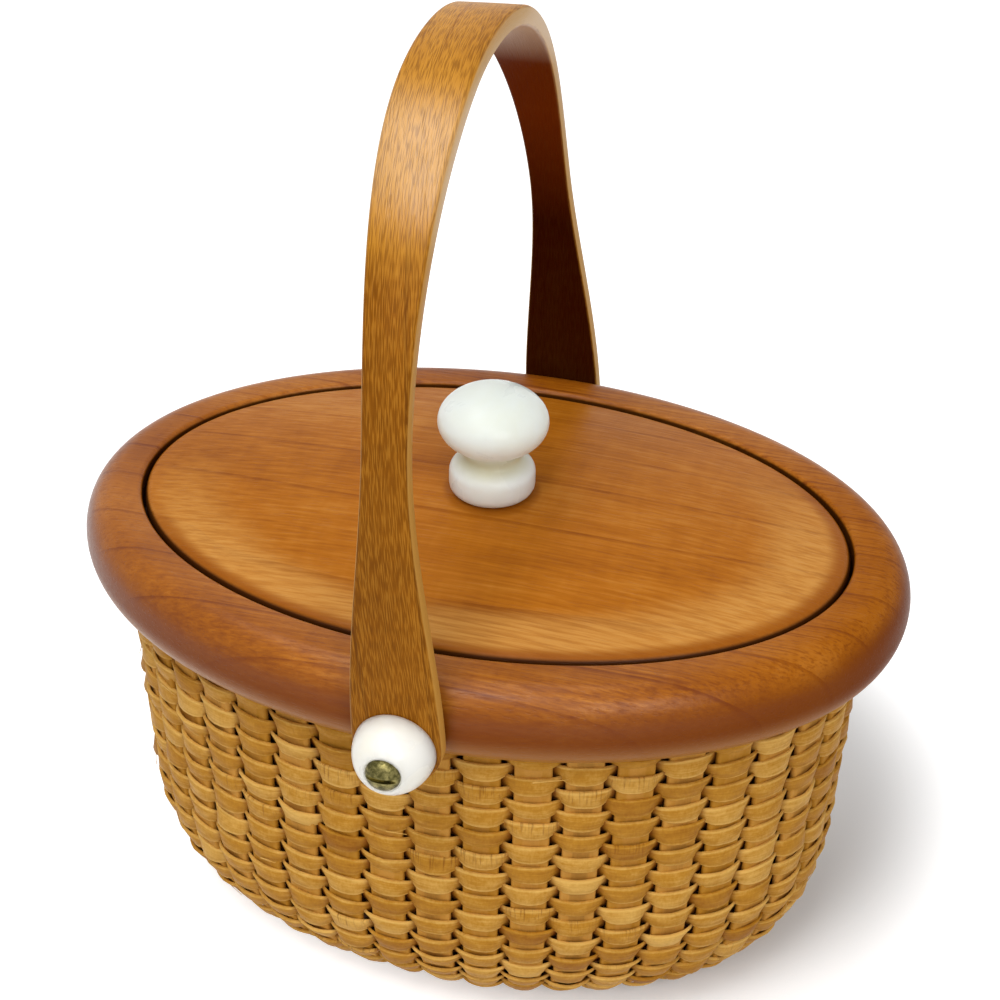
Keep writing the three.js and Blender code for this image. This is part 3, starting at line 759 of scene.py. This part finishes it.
def cane_finish(name, wall, light, mid, dark):
    """Flat cane: fine fibres, paler edges that are partly wear and partly painted highlight, small cracks
    where it bends, and painted shade deep in the weave.
    """
    finish = Finish(name, specular_ior_level=0.12)
    level, noise, times = finish.level, finish.noise, finish.times
    grain = finish.attribute("grain", "Vector")
    across = finish.split(grain)[1]
    fibres = noise(grain, (90, 2400, 2400), 3, 0.6)
    blotch = noise(grain, (210, 420, 420), 4, 0.6, 0.4)
    flecks = noise(grain, (1500, 700, 700), 3, 0.6)
    # Paler top and bottom edges: partly wear, partly a painted highlight
    edge = level(finish.math("ABSOLUTE", across), wall.cane_height * 0.32, wall.cane_height * 0.48)
    parts = ((finish.attribute("tone"), 0.42), (fibres, 0.2), (blotch, 0.36), (flecks, 0.2), (edge, 0.16))
    value = finish.plus(*(times(part, share) for part, share in parts))
    finish.shade = finish.ramp(value, (0.32, dark), (0.58, mid), (0.84, light))
    worn = times(level(finish.attribute("worn"), 0.8, 0.9), level(across, -2.2 * MM, 0.6 * MM))
    crack = times(level(noise(grain, (1700, 120, 120)), 0.5, 0.68), worn)
    finish.coat(times(crack, 0.45), wall.cane_crack_and_shade)
    # Painted shade: darker where the cane lies deep in the weave, behind the staves
    finish.coat(times(level(finish.attribute("depth"), 0.4, -0.7), 0.8), wall.cane_crack_and_shade)
    height = finish.minus(finish.plus(fibres, flecks), times(crack, 0.9))
    roughness = level(fibres, 0.3, 0.7, 0.66, 0.5)
    return finish.paint(roughness=roughness, normal=finish.bump(height, 0.06 * MM))


def white_finish(name, white, scale, groove=None):
    """Polished white with faint clouds, and painted shade, darker and warmer, round a groove's height."""
    finish = Finish(
        name, specular_ior_level=0.35, subsurface_weight=0.8, subsurface_radius=(1, 1, 0.95),
        subsurface_scale=15 * MM,
    )
    place = finish.object_place()
    clouds = finish.noise(place, (scale, scale, scale), 4, 0.55, 0.6)
    finish.shade = finish.ramp(clouds, (0.3, tinted(white, 0.97, 0.95, 0.89)), (0.62, white))
    if groove:
        # Painted shade: darker and warmer round the groove
        apart = finish.math("ABSOLUTE", finish.minus(finish.split(place)[2], groove))
        finish.coat(finish.level(apart, 3.6 * MM, 0.0, 0.0, 0.7), tinted(white, 0.74, 0.62, 0.38))
    return finish.paint(roughness=finish.level(clouds, 0.3, 0.7, 0.34, 0.24))


def brass_finish(trim):
    finish = Finish("aged_brass", metallic=1.0)
    place = finish.object_place()
    tarnish = finish.noise(place, (520, 520, 520), 5, 0.65, 0.4)
    finish.shade = finish.ramp(tarnish, (0.4, trim.brass_dull), (0.64, trim.brass_bright))
    scratches = finish.noise(place, (900, 4000, 4000))
    roughness = finish.level(tarnish, 0.35, 0.65, 0.55, 0.3)
    return finish.paint(roughness=roughness, normal=finish.bump(scratches, 0.05 * MM))


# Wall geometry


class Wall:
    """The wall's middle surface: an oval whose profile runs from the base's edge up to the rim."""

    def __init__(self, wall):
        self.settings = wall
        level = BASE_TOP / 2
        bend = np.linspace(math.pi / 2, 0, PROFILE_STEPS)
        inset = wall.bend_inset + wall.bend_reach * (1 - np.cos(bend))
        height = wall.bend_height - (wall.bend_height - level) * np.sin(bend)
        self.inset = np.concatenate([[inset[0] + wall.groove_reach], inset, [wall.top_inset, wall.top_inset]])
        self.height = np.concatenate([[level], height, [RIM_BOTTOM, RIM_BOTTOM + wall.rim_reach]])
        self.distance = travelled(self.inset, self.height) - wall.groove_reach
        self.foot, self.rim, self.top = self.distance[[0, -2, -1]]
        self.count = len(STAVE_NODES)
        self.turn = np.linspace(0, 2 * math.pi, OVAL_SAMPLES)
        middles = (self.turn[1:] + self.turn[:-1]) / 2
        steps = self.round_length(wall.top_inset, middles) * np.diff(self.turn)
        self.travel = np.concatenate([[0], np.cumsum(steps)])
        self.room = self.travel[-1] / self.count

    @staticmethod
    def round_length(inset, turn):
        return np.hypot((HALF_LENGTH - inset) * np.sin(turn), (HALF_WIDTH - inset) * np.cos(turn))

    def inset_at(self, distance):
        return np.interp(distance, self.distance, self.inset)

    def turn_at(self, staves):
        """The angle round the oval after passing some number of staves."""
        return np.interp((staves % self.count) * self.room, self.travel, self.turn)

    def row_at(self, passed):
        """How far up the wall the cane's middle is after passing some number of staves."""
        return self.settings.first_row + passed / self.count * self.settings.row_pitch

    def point(self, turn, distance):
        inset = self.inset_at(distance)
        height = np.interp(distance, self.distance, self.height)
        across, away = (HALF_LENGTH - inset) * np.cos(turn), (HALF_WIDTH - inset) * np.sin(turn)
        return np.stack([across, away, height], axis=1)

    def directions(self, turn, distance):
        """Unit vectors round, up and out of the wall."""
        inset = self.inset_at(distance)
        across, away = -(HALF_LENGTH - inset) * np.sin(turn), (HALF_WIDTH - inset) * np.cos(turn)
        around = unit(np.stack([across, away, np.zeros_like(turn)], axis=1))
        reach = 1.5 * MM
        up = unit(self.point(turn, distance + reach) - self.point(turn, distance - reach))
        return around, up, unit(np.cross(around, up))

    def stave_width(self, turn, distance):
        top = self.round_length(self.settings.top_inset, turn)
        room = self.room * self.round_length(self.inset_at(distance), turn) / top
        foot_room = self.room * self.round_length(self.inset[0], turn) / top
        share = (room - foot_room) / (self.room - foot_room)
        return (foot_room - self.settings.foot_gap) * (1 - share) + self.settings.stave_width * share


def stave_line(wall, number):
    """A stave's middle line, thicker outwards where the cane passes over it."""
    # depth sets how much painted shade the staves get from the cane's finish
    margin, easing, golden, depth = 2 * MM, 5 * MM, 0.618, 0.12
    flat = np.ones(STAVE_STEPS)
    distance = np.linspace(wall.foot, wall.top, STAVE_STEPS)
    turn = flat * wall.turn_at(number)
    around, _, out = wall.directions(turn, np.clip(distance, wall.foot + margin, wall.top - margin))
    swell = np.clip(np.minimum(distance - margin, wall.rim - distance) / easing, 0, 1)
    crown = wall.settings.stave_crown * swell
    return {
        "centre": wall.point(turn, distance) + out * crown[:, None] / 2,
        "side": -around,
        "out": out,
        "half_width": wall.stave_width(turn, distance) / 2,
        "half_depth": (wall.settings.stave_thickness + crown) / 2,
        "along": distance + number,
        "tone": flat * ((number * golden) % 1),
        "worn": flat * 0,
        "depth": flat * depth,
    }


def weaver_habits(wall, crossings):
    """Small differences of the cane, one for each stave that it passes."""
    draw = np.random.default_rng(wall.seed)
    amount = wall.unevenness
    knots = np.arange(0, crossings + DRIFT, DRIFT)
    slow = np.interp(np.arange(crossings), knots, draw.normal(size=len(knots)))
    return {
        "lift": draw.normal(scale=0.17 * MM * amount, size=crossings),
        "lean": draw.normal(scale=math.radians(7) * amount, size=crossings),
        "width": 1 + draw.normal(scale=0.055 * amount, size=crossings),
        "swing": 1 + draw.normal(scale=0.05 * amount, size=crossings),
        "worn": draw.random(crossings),
        "tone": np.clip(0.5 + 0.1 * slow + 0.17 * draw.normal(size=crossings), 0, 1),
    }


def weaver_line(wall, habits, start, end, last):
    """One length of cane, from one count of staves passed to another, in and out of the staves."""
    sizes = wall.settings
    straight, thinnest, narrowing = 0.2, 0.3, 0.07
    whole = np.arange(math.floor(start), math.ceil(end))
    passed = (whole[:, None] + np.array(WEAVE_SHARES)).ravel()
    passed = passed[(passed >= start) & (passed <= end)]
    turn = wall.turn_at(passed + FIRST_STAVE)
    crossing = np.arange(len(habits["lift"]))

    def habit(name):
        return np.interp(passed, crossing, habits[name])

    distance = wall.row_at(passed) + habit("lift")
    _, up, out = wall.directions(turn, distance)
    weave = 1 - 2 * np.abs((passed + 1) % 2 - 1)
    ramp = sizes.steepness * weave
    share = ramp / (1 + np.abs(ramp) ** sizes.crispness) ** (1 / sizes.crispness)
    bulge = np.clip((np.abs(weave) - straight) / (1 - straight), 0, 1)
    bow = sizes.cane_bow * np.sign(weave) * bulge * (2 - bulge)
    swing = sizes.cane_swing * habit("swing") * share + bow
    lean = (habit("lean") + sizes.cane_tuck * (1 - share ** 2))[:, None]
    taper = np.clip(np.minimum(passed, last - passed) / wall.count, thinnest, 1)
    taper = taper * (1 - narrowing * (1 - np.abs(share)))
    lump = np.clip(np.floor((passed + 1) / 2).astype(int) * 2, 0, len(crossing) - 1)
    return {
        "centre": wall.point(turn, distance) + out * swing[:, None],
        "side": up * np.cos(lean) + out * np.sin(lean),
        "out": out * np.cos(lean) - up * np.sin(lean),
        "half_width": sizes.cane_height / 2 * habit("width") * taper,
        "half_depth": np.full(len(passed), sizes.cane_thickness / 2),
        "along": passed * wall.room,
        "tone": habits["tone"][lump],
        "worn": habits["worn"][lump],
        # How far in the cane lies, which sets its painted shade
        "depth": swing / sizes.cane_swing,
    }


def splinter_line(wall, draw, crossings):
    """A loose hair of cane that lifts off the weave's outer side."""
    sizes = wall.settings
    steps = np.linspace(0, 1, HAIR_STEPS)
    start = 2 * draw.integers(wall.count // 2, crossings // 2) + draw.uniform(-0.35, 0.1)
    passed = start + steps * draw.uniform(5, 9) * MM / wall.room
    turn = wall.turn_at(passed + FIRST_STAVE)
    edge = draw.choice((-0.45, 0.4, 0.45)) * sizes.cane_height
    distance = wall.row_at(passed) + edge + steps * draw.uniform(-0.4, 1.6) * MM
    _, up, out = wall.directions(turn, distance)
    outside = sizes.cane_swing + sizes.cane_bow * 0.8 + sizes.cane_thickness / 2
    lift = outside + steps ** 2 * draw.uniform(0.1, 0.6) * MM
    flat = np.ones(HAIR_STEPS)
    return {
        "centre": wall.point(turn, distance) + out * lift[:, None],
        "side": up,
        "out": out,
        "half_width": (0.24 - 0.18 * steps) * MM,
        "half_depth": flat * sizes.hair_depth,
        "along": passed * wall.room,
        "tone": flat,
        "worn": flat * 0,
        "depth": flat,
    }


# Operators


class BASKET_OT_staves(bpy.types.Operator):
    """Makes the upright staves, from the base's groove to the rim's groove."""

    bl_idname = "basket.staves"
    bl_label = "Staves"

    def execute(self, context):
        settings = context.scene.basket_wall
        wall = Wall(settings)
        dark = tinted(settings.stave_colour, 0.7, 0.7, 0.7)
        material = cane_finish("stave_cane", settings, settings.cane_mid, settings.stave_colour, dark)
        lines = [stave_line(wall, number) for number in range(wall.count)]
        mesh = swept("stave_strips", lines, settings.stave_rounding, STAVE_SECTION)
        finished("stave_strips", mesh, material, "basket", "cane_stave", *STAVE_NODES)
        return {"FINISHED"}


class BASKET_OT_weave(bpy.types.Operator):
    """Weaves the wall: three lengths of flat cane that wind up round the staves, with loose hairs."""

    bl_idname = "basket.weave"
    bl_label = "Weave"

    def execute(self, context):
        settings = context.scene.basket_wall
        wall = Wall(settings)
        material = cane_finish(
            "weaver_cane", settings, settings.cane_light, settings.cane_mid, settings.cane_dark,
        )
        rows = (wall.rim - settings.cane_height / 2 - settings.first_row) / settings.row_pitch
        last = int(rows * wall.count)
        habits = weaver_habits(settings, last + 2)
        third = 2 * int(last / 6) + 1
        splice = 0.5
        for name, start, end in (
            ("woven_cane_low", 0, third + splice),
            ("woven_cane_middle", third - splice, 2 * third + 1 + splice),
            ("woven_cane_high", 2 * third + 1 - splice, last),
        ):
            line = weaver_line(wall, habits, start, end, last)
            mesh = swept(name, [line], settings.cane_rounding, CANE_SECTION)
            finished(name, mesh, material, "basket", "cane_weave", "woven_wall")
        draw = np.random.default_rng(settings.seed + 1)
        hairs = [splinter_line(wall, draw, last) for _ in range(settings.splinters)]
        mesh = swept("cane_splinters", hairs, settings.hair_depth, HAIR_SECTION)
        finished("cane_splinters", mesh, material, "basket", "cane_weave", "woven_wall")
        return {"FINISHED"}


class BASKET_OT_base(bpy.types.Operator):
    """Makes the oval base plate with the groove round its edge."""

    bl_idname = "basket.base"
    bl_label = "Base"

    def execute(self, context):
        wood = context.scene.basket_wood
        low, high = ((BASE_TOP + side * wood.groove_width) / 2 for side in (-1, 1))
        flat = 0.35 * BASE_HALF_WIDTH
        outline = softened([
            (flat, 0, 0),
            (0, 0, wood.base_round),
            (0, low, 0.3 * MM),
            (wood.groove_depth, low, 0),
            (wood.groove_depth, high, 0),
            (0, high, 0.3 * MM),
            (0, BASE_TOP, wood.base_round),
            (flat, BASE_TOP, 0),
        ])
        loops = ovals(BASE_HALF_LENGTH, BASE_HALF_WIDTH, outline)
        mesh = lofted("base_plate", loops, [(0, 0, 0), (0, 0, BASE_TOP)])
        finished("base_plate", mesh, base_finish(wood), "basket", "base_wood", "base")
        return {"FINISHED"}


class BASKET_OT_rim(bpy.types.Operator):
    """Makes the rim: an oval ring with a rounded nose, a ledge for the lid and a groove for the staves."""

    bl_idname = "basket.rim"
    bl_label = "Rim"

    def execute(self, context):
        wood = context.scene.basket_wood
        middle = context.scene.basket_wall.top_inset
        half = (RIM_TOP - RIM_BOTTOM) / 2
        turns = np.linspace(-math.pi / 2, math.pi / 2, NOSE_STEPS + 1)
        nose = [
            (wood.rim_nose * (1 - math.cos(turn)), RIM_BOTTOM + half * (1 + math.sin(turn)), 0)
            for turn in turns
        ]
        ledge = RIM_TOP - wood.ledge_depth
        inside = wood.rim_top_width + wood.ledge_width
        groove_out, groove_in = middle - wood.groove_width / 2, middle + wood.groove_width / 2
        groove_top = RIM_BOTTOM + wood.rim_groove
        outline = softened([
            *nose,
            (wood.rim_top_width, RIM_TOP, wood.rim_edge),
            (wood.rim_top_width, ledge, 0.3 * MM),
            (inside, ledge, 0.6 * MM),
            (inside, RIM_BOTTOM, 1 * MM),
            (groove_in, RIM_BOTTOM, 0.2 * MM),
            (groove_in, groove_top, 0),
            (groove_out, groove_top, 0),
            (groove_out, RIM_BOTTOM, 0.2 * MM),
        ], closed=True)
        mesh = lofted("rim_ring", ovals(HALF_LENGTH, HALF_WIDTH, outline))
        finished("rim_ring", mesh, rim_finish(wood), "basket", "rim_wood", "rim")
        return {"FINISHED"}


class BASKET_OT_lid(bpy.types.Operator):
    """Makes the domed lid board with its rolled edge."""

    bl_idname = "basket.lid"
    bl_label = "Lid"

    def execute(self, context):
        wood = context.scene.basket_wood
        roll = wood.lid_roll
        half_length = LID_HALF_LENGTH + wood.lid_spread
        side = RIM_TOP - roll
        under = softened([(LID_HALF_WIDTH / 2, LID_BOTTOM, 0), (0, LID_BOTTOM, 1 * MM), (0, side, 0)])
        turns = np.linspace(0, LID_ROLL_END, CORNER_STEPS * 2)[1:]
        edge = [(roll * (1 - math.cos(turn)), side + roll * math.sin(turn)) for turn in turns]
        loops = ovals(half_length, LID_HALF_WIDTH, [*under, *edge])
        inset, shoulder = edge[-1]
        for share in np.linspace(1, 0, DOME_STEPS, endpoint=False)[1:]:
            height = shoulder + (LID_CENTRE - shoulder) * (1 - share ** wood.lid_power)
            loops.append(oval((half_length - inset) * share, (LID_HALF_WIDTH - inset) * share, height))
        mesh = lofted("lid_board", loops, [(0, 0, LID_BOTTOM), (0, 0, LID_CENTRE)])
        finished("lid_board", mesh, lid_finish(wood), "lid", "lid_wood", "lid")
        return {"FINISHED"}


class BASKET_OT_handle(bpy.types.Operator):
    """Bends the handle: a flat strip that arches from one pivot to the other."""

    bl_idname = "basket.handle"
    bl_label = "Handle"

    def execute(self, context):
        handle = context.scene.basket_handle
        mesh = swept("handle_bow", [self.line(handle)], handle.edge, HANDLE_SECTION)
        lean = Matrix.Rotation(handle.lean, 4, "Y")
        mesh.transform(Matrix.Translation((0, 0, PIVOT_HEIGHT)) @ lean)
        finished("handle_bow", mesh, handle_finish(handle), "handle", "handle_wood", "handle")
        return {"FINISHED"}

    @staticmethod
    def line(handle):
        """The strip's middle line, upright, with its pivots' line through the origin."""
        side = HALF_WIDTH + handle.gap + handle.thickness / 2
        rise = handle.rise - handle.thickness / 2
        fine = np.linspace(0, math.pi, ARCH_SAMPLES)
        across = -np.sign(np.cos(fine)) * side * np.abs(np.cos(fine)) ** (2 / handle.side_power)
        height = rise * np.sin(fine).clip(0) ** (2 / handle.rise_power)
        travel = travelled(across, height)
        distance = np.linspace(0, travel[-1], ARCH_STEPS + 1)
        points = np.stack([np.interp(distance, travel, axis) for axis in (across, height)], axis=1)
        tangents = unit(np.gradient(points, axis=0))
        tangents[0], tangents[-1] = (0, 1), (0, -1)
        ends = np.sin(np.linspace(0, math.pi / 2, END_STEPS + 1)[1:-1])
        radius = handle.end_width / 2
        drop = radius * np.sqrt(1 - ends ** 2)
        front, back = (np.stack([np.full(len(ends), points[k, 0]), -drop], axis=1) for k in (0, -1))
        points = np.concatenate([front, points, back[::-1]])
        upwards, downwards = (np.tile((0, way), (len(ends), 1)) for way in (1, -1))
        tangents = np.concatenate([upwards, tangents, downwards])
        reach = np.minimum(distance, travel[-1] - distance)
        taper = np.clip(reach / handle.waist_reach, 0, 1)
        swell = np.clip((reach - handle.waist_reach) / (handle.crown_reach - handle.waist_reach), 0, 1)
        taper, swell = (share * share * (3 - 2 * share) for share in (taper, swell))
        width = handle.end_width + (handle.waist_width - handle.end_width) * taper
        width = width + (handle.crown_width - handle.waist_width) * swell
        width = np.concatenate([2 * radius * ends, width, 2 * radius * ends[::-1]])
        flat = np.zeros(len(points))
        tangent = np.stack([flat, tangents[:, 0], tangents[:, 1]], axis=1)
        out = np.stack([flat, -tangents[:, 1], tangents[:, 0]], axis=1)
        return {
            "centre": np.stack([flat, points[:, 0], points[:, 1]], axis=1),
            "side": np.cross(out, tangent),
            "out": out,
            "half_width": width / 2,
            "half_depth": np.full(len(points), handle.thickness / 2),
            "along": travelled(points[:, 0], points[:, 1]),
        }


class BASKET_OT_knob(bpy.types.Operator):
    """Turns the knob and the screw that holds it from under the lid."""

    bl_idname = "basket.knob"
    bl_label = "Knob"

    def execute(self, context):
        trim = context.scene.basket_trim
        half = trim.knob_head_height / 2
        middle = KNOB_TOP - KNOB_FOOT - half
        turns = np.linspace(KNOB_HEAD_START, DOME_END, DOME_STEPS + 1)
        head = [(KNOB_RADIUS * math.cos(turn), middle + half * math.sin(turn), 0) for turn in turns]
        head[0] = (*head[0][:2], 1.6 * MM)
        mesh = turned("knob_turned", [
            (0, 0, 0),
            (trim.knob_foot_radius, 0, 2.6 * MM),
            (trim.knob_foot_radius, trim.knob_foot_height, 3.4 * MM),
            (trim.knob_neck_radius, trim.knob_neck_height, 2.0 * MM),
            *head,
            (0, KNOB_TOP - KNOB_FOOT, 0),
        ])
        mesh.transform(Matrix.Translation((0, 0, KNOB_FOOT)))
        white = white_finish("knob_white", trim.knob_white, 60, KNOB_FOOT + trim.knob_neck_height)
        finished("knob_turned", mesh, white, "lid", "knob_white", "knob")
        seat = KNOB_SCREW_HEAD + trim.screw_head
        screw = slotted_screw("knob_screw_brass", trim, KNOB_SCREW_TIP - seat)
        screw.transform(Matrix.Translation((0, 0, seat)) @ Matrix.Rotation(math.pi, 4, "X"))
        finished("knob_screw_brass", screw, brass_finish(trim), "lid", "aged_brass", "knob_screw")
        return {"FINISHED"}


def slotted_screw(name, trim, length):
    """A round-head screw along +Z with its head's underside at the origin."""
    turns = np.linspace(0, DOME_END, CORNER_STEPS * 3)
    dome = [(SCREW_RADIUS * math.cos(turn), trim.screw_head * math.sin(turn), 0) for turn in turns]
    blank = turned(name + "_blank", [
        (0, -length, 0),
        (trim.screw_shank, trim.screw_point - length, 0),
        (trim.screw_shank, 0, 0),
        *dome,
        (0, trim.screw_head, 0),
    ])
    slot = bpy.data.meshes.new(name + "_slot")
    work = bmesh.new()
    bmesh.ops.create_cube(work, size=2)
    reach = Matrix.Diagonal((2 * SCREW_RADIUS, trim.slot_width / 2, trim.slot_depth, 1))
    work.transform(Matrix.Translation((0, 0, trim.screw_head)) @ reach)
    work.to_mesh(slot)
    work.free()
    body, cutter = placed(name + "_blank", blank), placed(name + "_slot", slot)
    cut = body.modifiers.new("Slot", "BOOLEAN")
    cut.object = cutter
    cut.solver = "EXACT"
    mesh = evaluated(body, name)
    bpy.data.objects.remove(cutter)
    return tidied(mesh)


class BASKET_OT_pivots(bpy.types.Operator):
    """Turns the two white caps and the brass screws on which the handle swings."""

    bl_idname = "basket.pivots"
    bl_label = "Pivots"

    def execute(self, context):
        trim = context.scene.basket_trim
        ivory = white_finish("cap_ivory", trim.cap_white, 90)
        brass = brass_finish(trim)
        seat = SCREW_TOP - trim.screw_head
        for side, quarter in (("front", math.pi / 2), ("back", -math.pi / 2)):
            outwards = Matrix.Translation((0, 0, PIVOT_HEIGHT)) @ Matrix.Rotation(quarter, 4, "X")
            cap = self.cap("cap_dome_" + side, trim)
            cap.transform(outwards @ Matrix.Translation((0, 0, CAP_FOOT)))
            finished("cap_dome_" + side, cap, ivory, "basket", "cap_ivory", "cap_" + side)
            screw = slotted_screw("pivot_brass_" + side, trim, seat - SCREW_TIP)
            screw.transform(outwards @ Matrix.Translation((0, 0, seat)))
            finished("pivot_brass_" + side, screw, brass, "basket", "aged_brass", "pivot_screw_" + side)
        return {"FINISHED"}

    @staticmethod
    def cap(name, trim):
        height = CAP_TOP - CAP_FOOT
        seat_radius = SCREW_RADIUS + 0.3 * MM
        end = math.acos(trim.cap_flat / CAP_RADIUS)
        turns = np.linspace(0, end, DOME_STEPS)
        dome = [(CAP_RADIUS * math.cos(turn), height * math.sin(turn) / math.sin(end), 0) for turn in turns]
        dome[-1] = (*dome[-1][:2], 0.5 * MM)
        return turned(name, [
            (0, 0, 0),
            *dome,
            (seat_radius, height, 0.1 * MM),
            (seat_radius, height - trim.cap_seat, 0),
            (0, height - trim.cap_seat, 0),
        ])


class BASKET_OT_stage(bpy.types.Operator):
    """Sets the pale floor, the soft lamps and the camera."""

    bl_idname = "basket.stage"
    bl_label = "Stage"

    def execute(self, context):
        stage = context.scene.basket_stage
        self.floor(stage)
        self.world(context.scene, stage)
        for name, place, spread in LAMPS:
            self.lamp(name + "_lamp", Vector(place), spread, getattr(stage, name))
        self.camera(context.scene, stage)
        context.scene.view_settings.view_transform = "Standard"
        return {"FINISHED"}

    @staticmethod
    def seen_directly(nodes):
        """One for rays from the camera, from polish and through clear things, and nothing for other rays."""
        path = nodes.add("ShaderNodeLightPath").outputs
        return nodes.most(path["Is Camera Ray"], path["Is Glossy Ray"], path["Is Transmission Ray"])

    def floor(self, stage):
        """A pale floor that glows to white away from the basket: painted light that shapes the outline of the
        basket's shadow.
        """
        mesh = bpy.data.meshes.new("floor")
        corners = [(x * FLOOR_REACH, y * FLOOR_REACH, 0) for x, y in ((-1, -1), (1, -1), (1, 1), (-1, 1))]
        mesh.from_pydata(corners, [], [(0, 1, 2, 3)])
        floor = placed("floor", mesh)
        finish = Finish(
            "pale_floor", roughness=0.9, specular_ior_level=0.1,
            base_color=(*stage.floor_colour, 1), emission_color=(1, 1, 1, 1),
        )
        # Painted light: the floor glows white to camera and glossy rays outside an oval centred behind and
        # right of the middle, painting the shadow's shape
        shadow = finish.place(finish.object_place(), location=(-0.03, -0.055, 0))
        far = finish.level(finish.reach(shadow), 0.07, 0.122, 0.0, 0.62)
        mesh.materials.append(finish.paint(emission_strength=finish.times(self.seen_directly(finish), far)))

    def world(self, scene, stage):
        """White where it is seen, and a dimmer light from all around."""
        world = bpy.data.worlds.new("studio")
        scene.world = world
        world.use_nodes = True
        nodes = Nodes(world.node_tree)
        background = world.node_tree.nodes["Background"]
        background.inputs["Color"].default_value = (1, 1, 1, 1)
        strength = nodes.plus(nodes.times(self.seen_directly(nodes), 1 - stage.fill), stage.fill)
        nodes.tree.links.new(strength, background.inputs["Strength"])

    @staticmethod
    def lamp(name, place, spread, watts):
        light = bpy.data.lights.new(name, "AREA")
        light.shape = "RECTANGLE"
        light.size, light.size_y = spread
        light.energy = watts
        lamp = placed(name, light)
        lamp.location = place
        lamp.rotation_euler = (LAMP_AIM - place).to_track_quat("-Z", "Y").to_euler()

    @staticmethod
    def camera(scene, stage):
        turn, rise = stage.azimuth, stage.elevation
        back = Vector((math.sin(turn) * math.cos(rise), -math.cos(turn) * math.cos(rise), math.sin(rise)))
        right = Vector((math.cos(turn), math.sin(turn), 0))
        up = back.cross(right)
        across = right * math.cos(stage.roll) + up * math.sin(stage.roll)
        upright = up * math.cos(stage.roll) - right * math.sin(stage.roll)
        lens = bpy.data.cameras.new("camera")
        lens.lens = stage.focal
        lens.sensor_width = 36
        lens.clip_start = 0.01
        camera = placed("camera", lens)
        middle = Vector((0, 0, stage.aim_height))
        place = middle + back * stage.distance + across * stage.across + upright * stage.up
        axes = Matrix((across, upright, back)).transposed().to_4x4()
        camera.matrix_world = Matrix.Translation(place) @ axes
        scene.camera = camera


class BASKET_PT_panel(bpy.types.Panel):
    """Lists the basket's settings and the steps that build it."""

    bl_label = "Oval Basket"
    bl_idname = "BASKET_PT_panel"
    bl_space_type = "VIEW_3D"
    bl_region_type = "UI"
    bl_category = "Basket"

    def draw(self, context):
        column = self.layout.column()
        for step in STEPS:
            column.operator(step.bl_idname)
        for title, holder in SETTINGS.items():
            box = self.layout.box()
            group = getattr(context.scene, title)
            for key in holder.__annotations__:
                box.prop(group, key)


SETTINGS = {
    "basket_wall": WallSettings,
    "basket_wood": WoodSettings,
    "basket_handle": HandleSettings,
    "basket_trim": TrimSettings,
    "basket_stage": StageSettings,
}

STEPS = (
    BASKET_OT_base,
    BASKET_OT_staves,
    BASKET_OT_weave,
    BASKET_OT_rim,
    BASKET_OT_lid,
    BASKET_OT_knob,
    BASKET_OT_handle,
    BASKET_OT_pivots,
    BASKET_OT_stage,
)


def register():
    for entry in (*SETTINGS.values(), *STEPS, BASKET_PT_panel):
        bpy.utils.register_class(entry)
    for name, holder in SETTINGS.items():
        setattr(bpy.types.Scene, name, PointerProperty(type=holder))


def unregister():
    for name in SETTINGS:
        delattr(bpy.types.Scene, name)
    for entry in reversed((*SETTINGS.values(), *STEPS, BASKET_PT_panel)):
        bpy.utils.unregister_class(entry)


def main():
    register()
    bpy.ops.basket.base()
    bpy.ops.basket.staves()
    bpy.ops.basket.weave()
    bpy.ops.basket.rim()
    bpy.ops.basket.lid()
    bpy.ops.basket.knob()
    bpy.ops.basket.handle()
    bpy.ops.basket.pivots()
    bpy.ops.basket.stage()


if __name__ == "__main__":
    main()
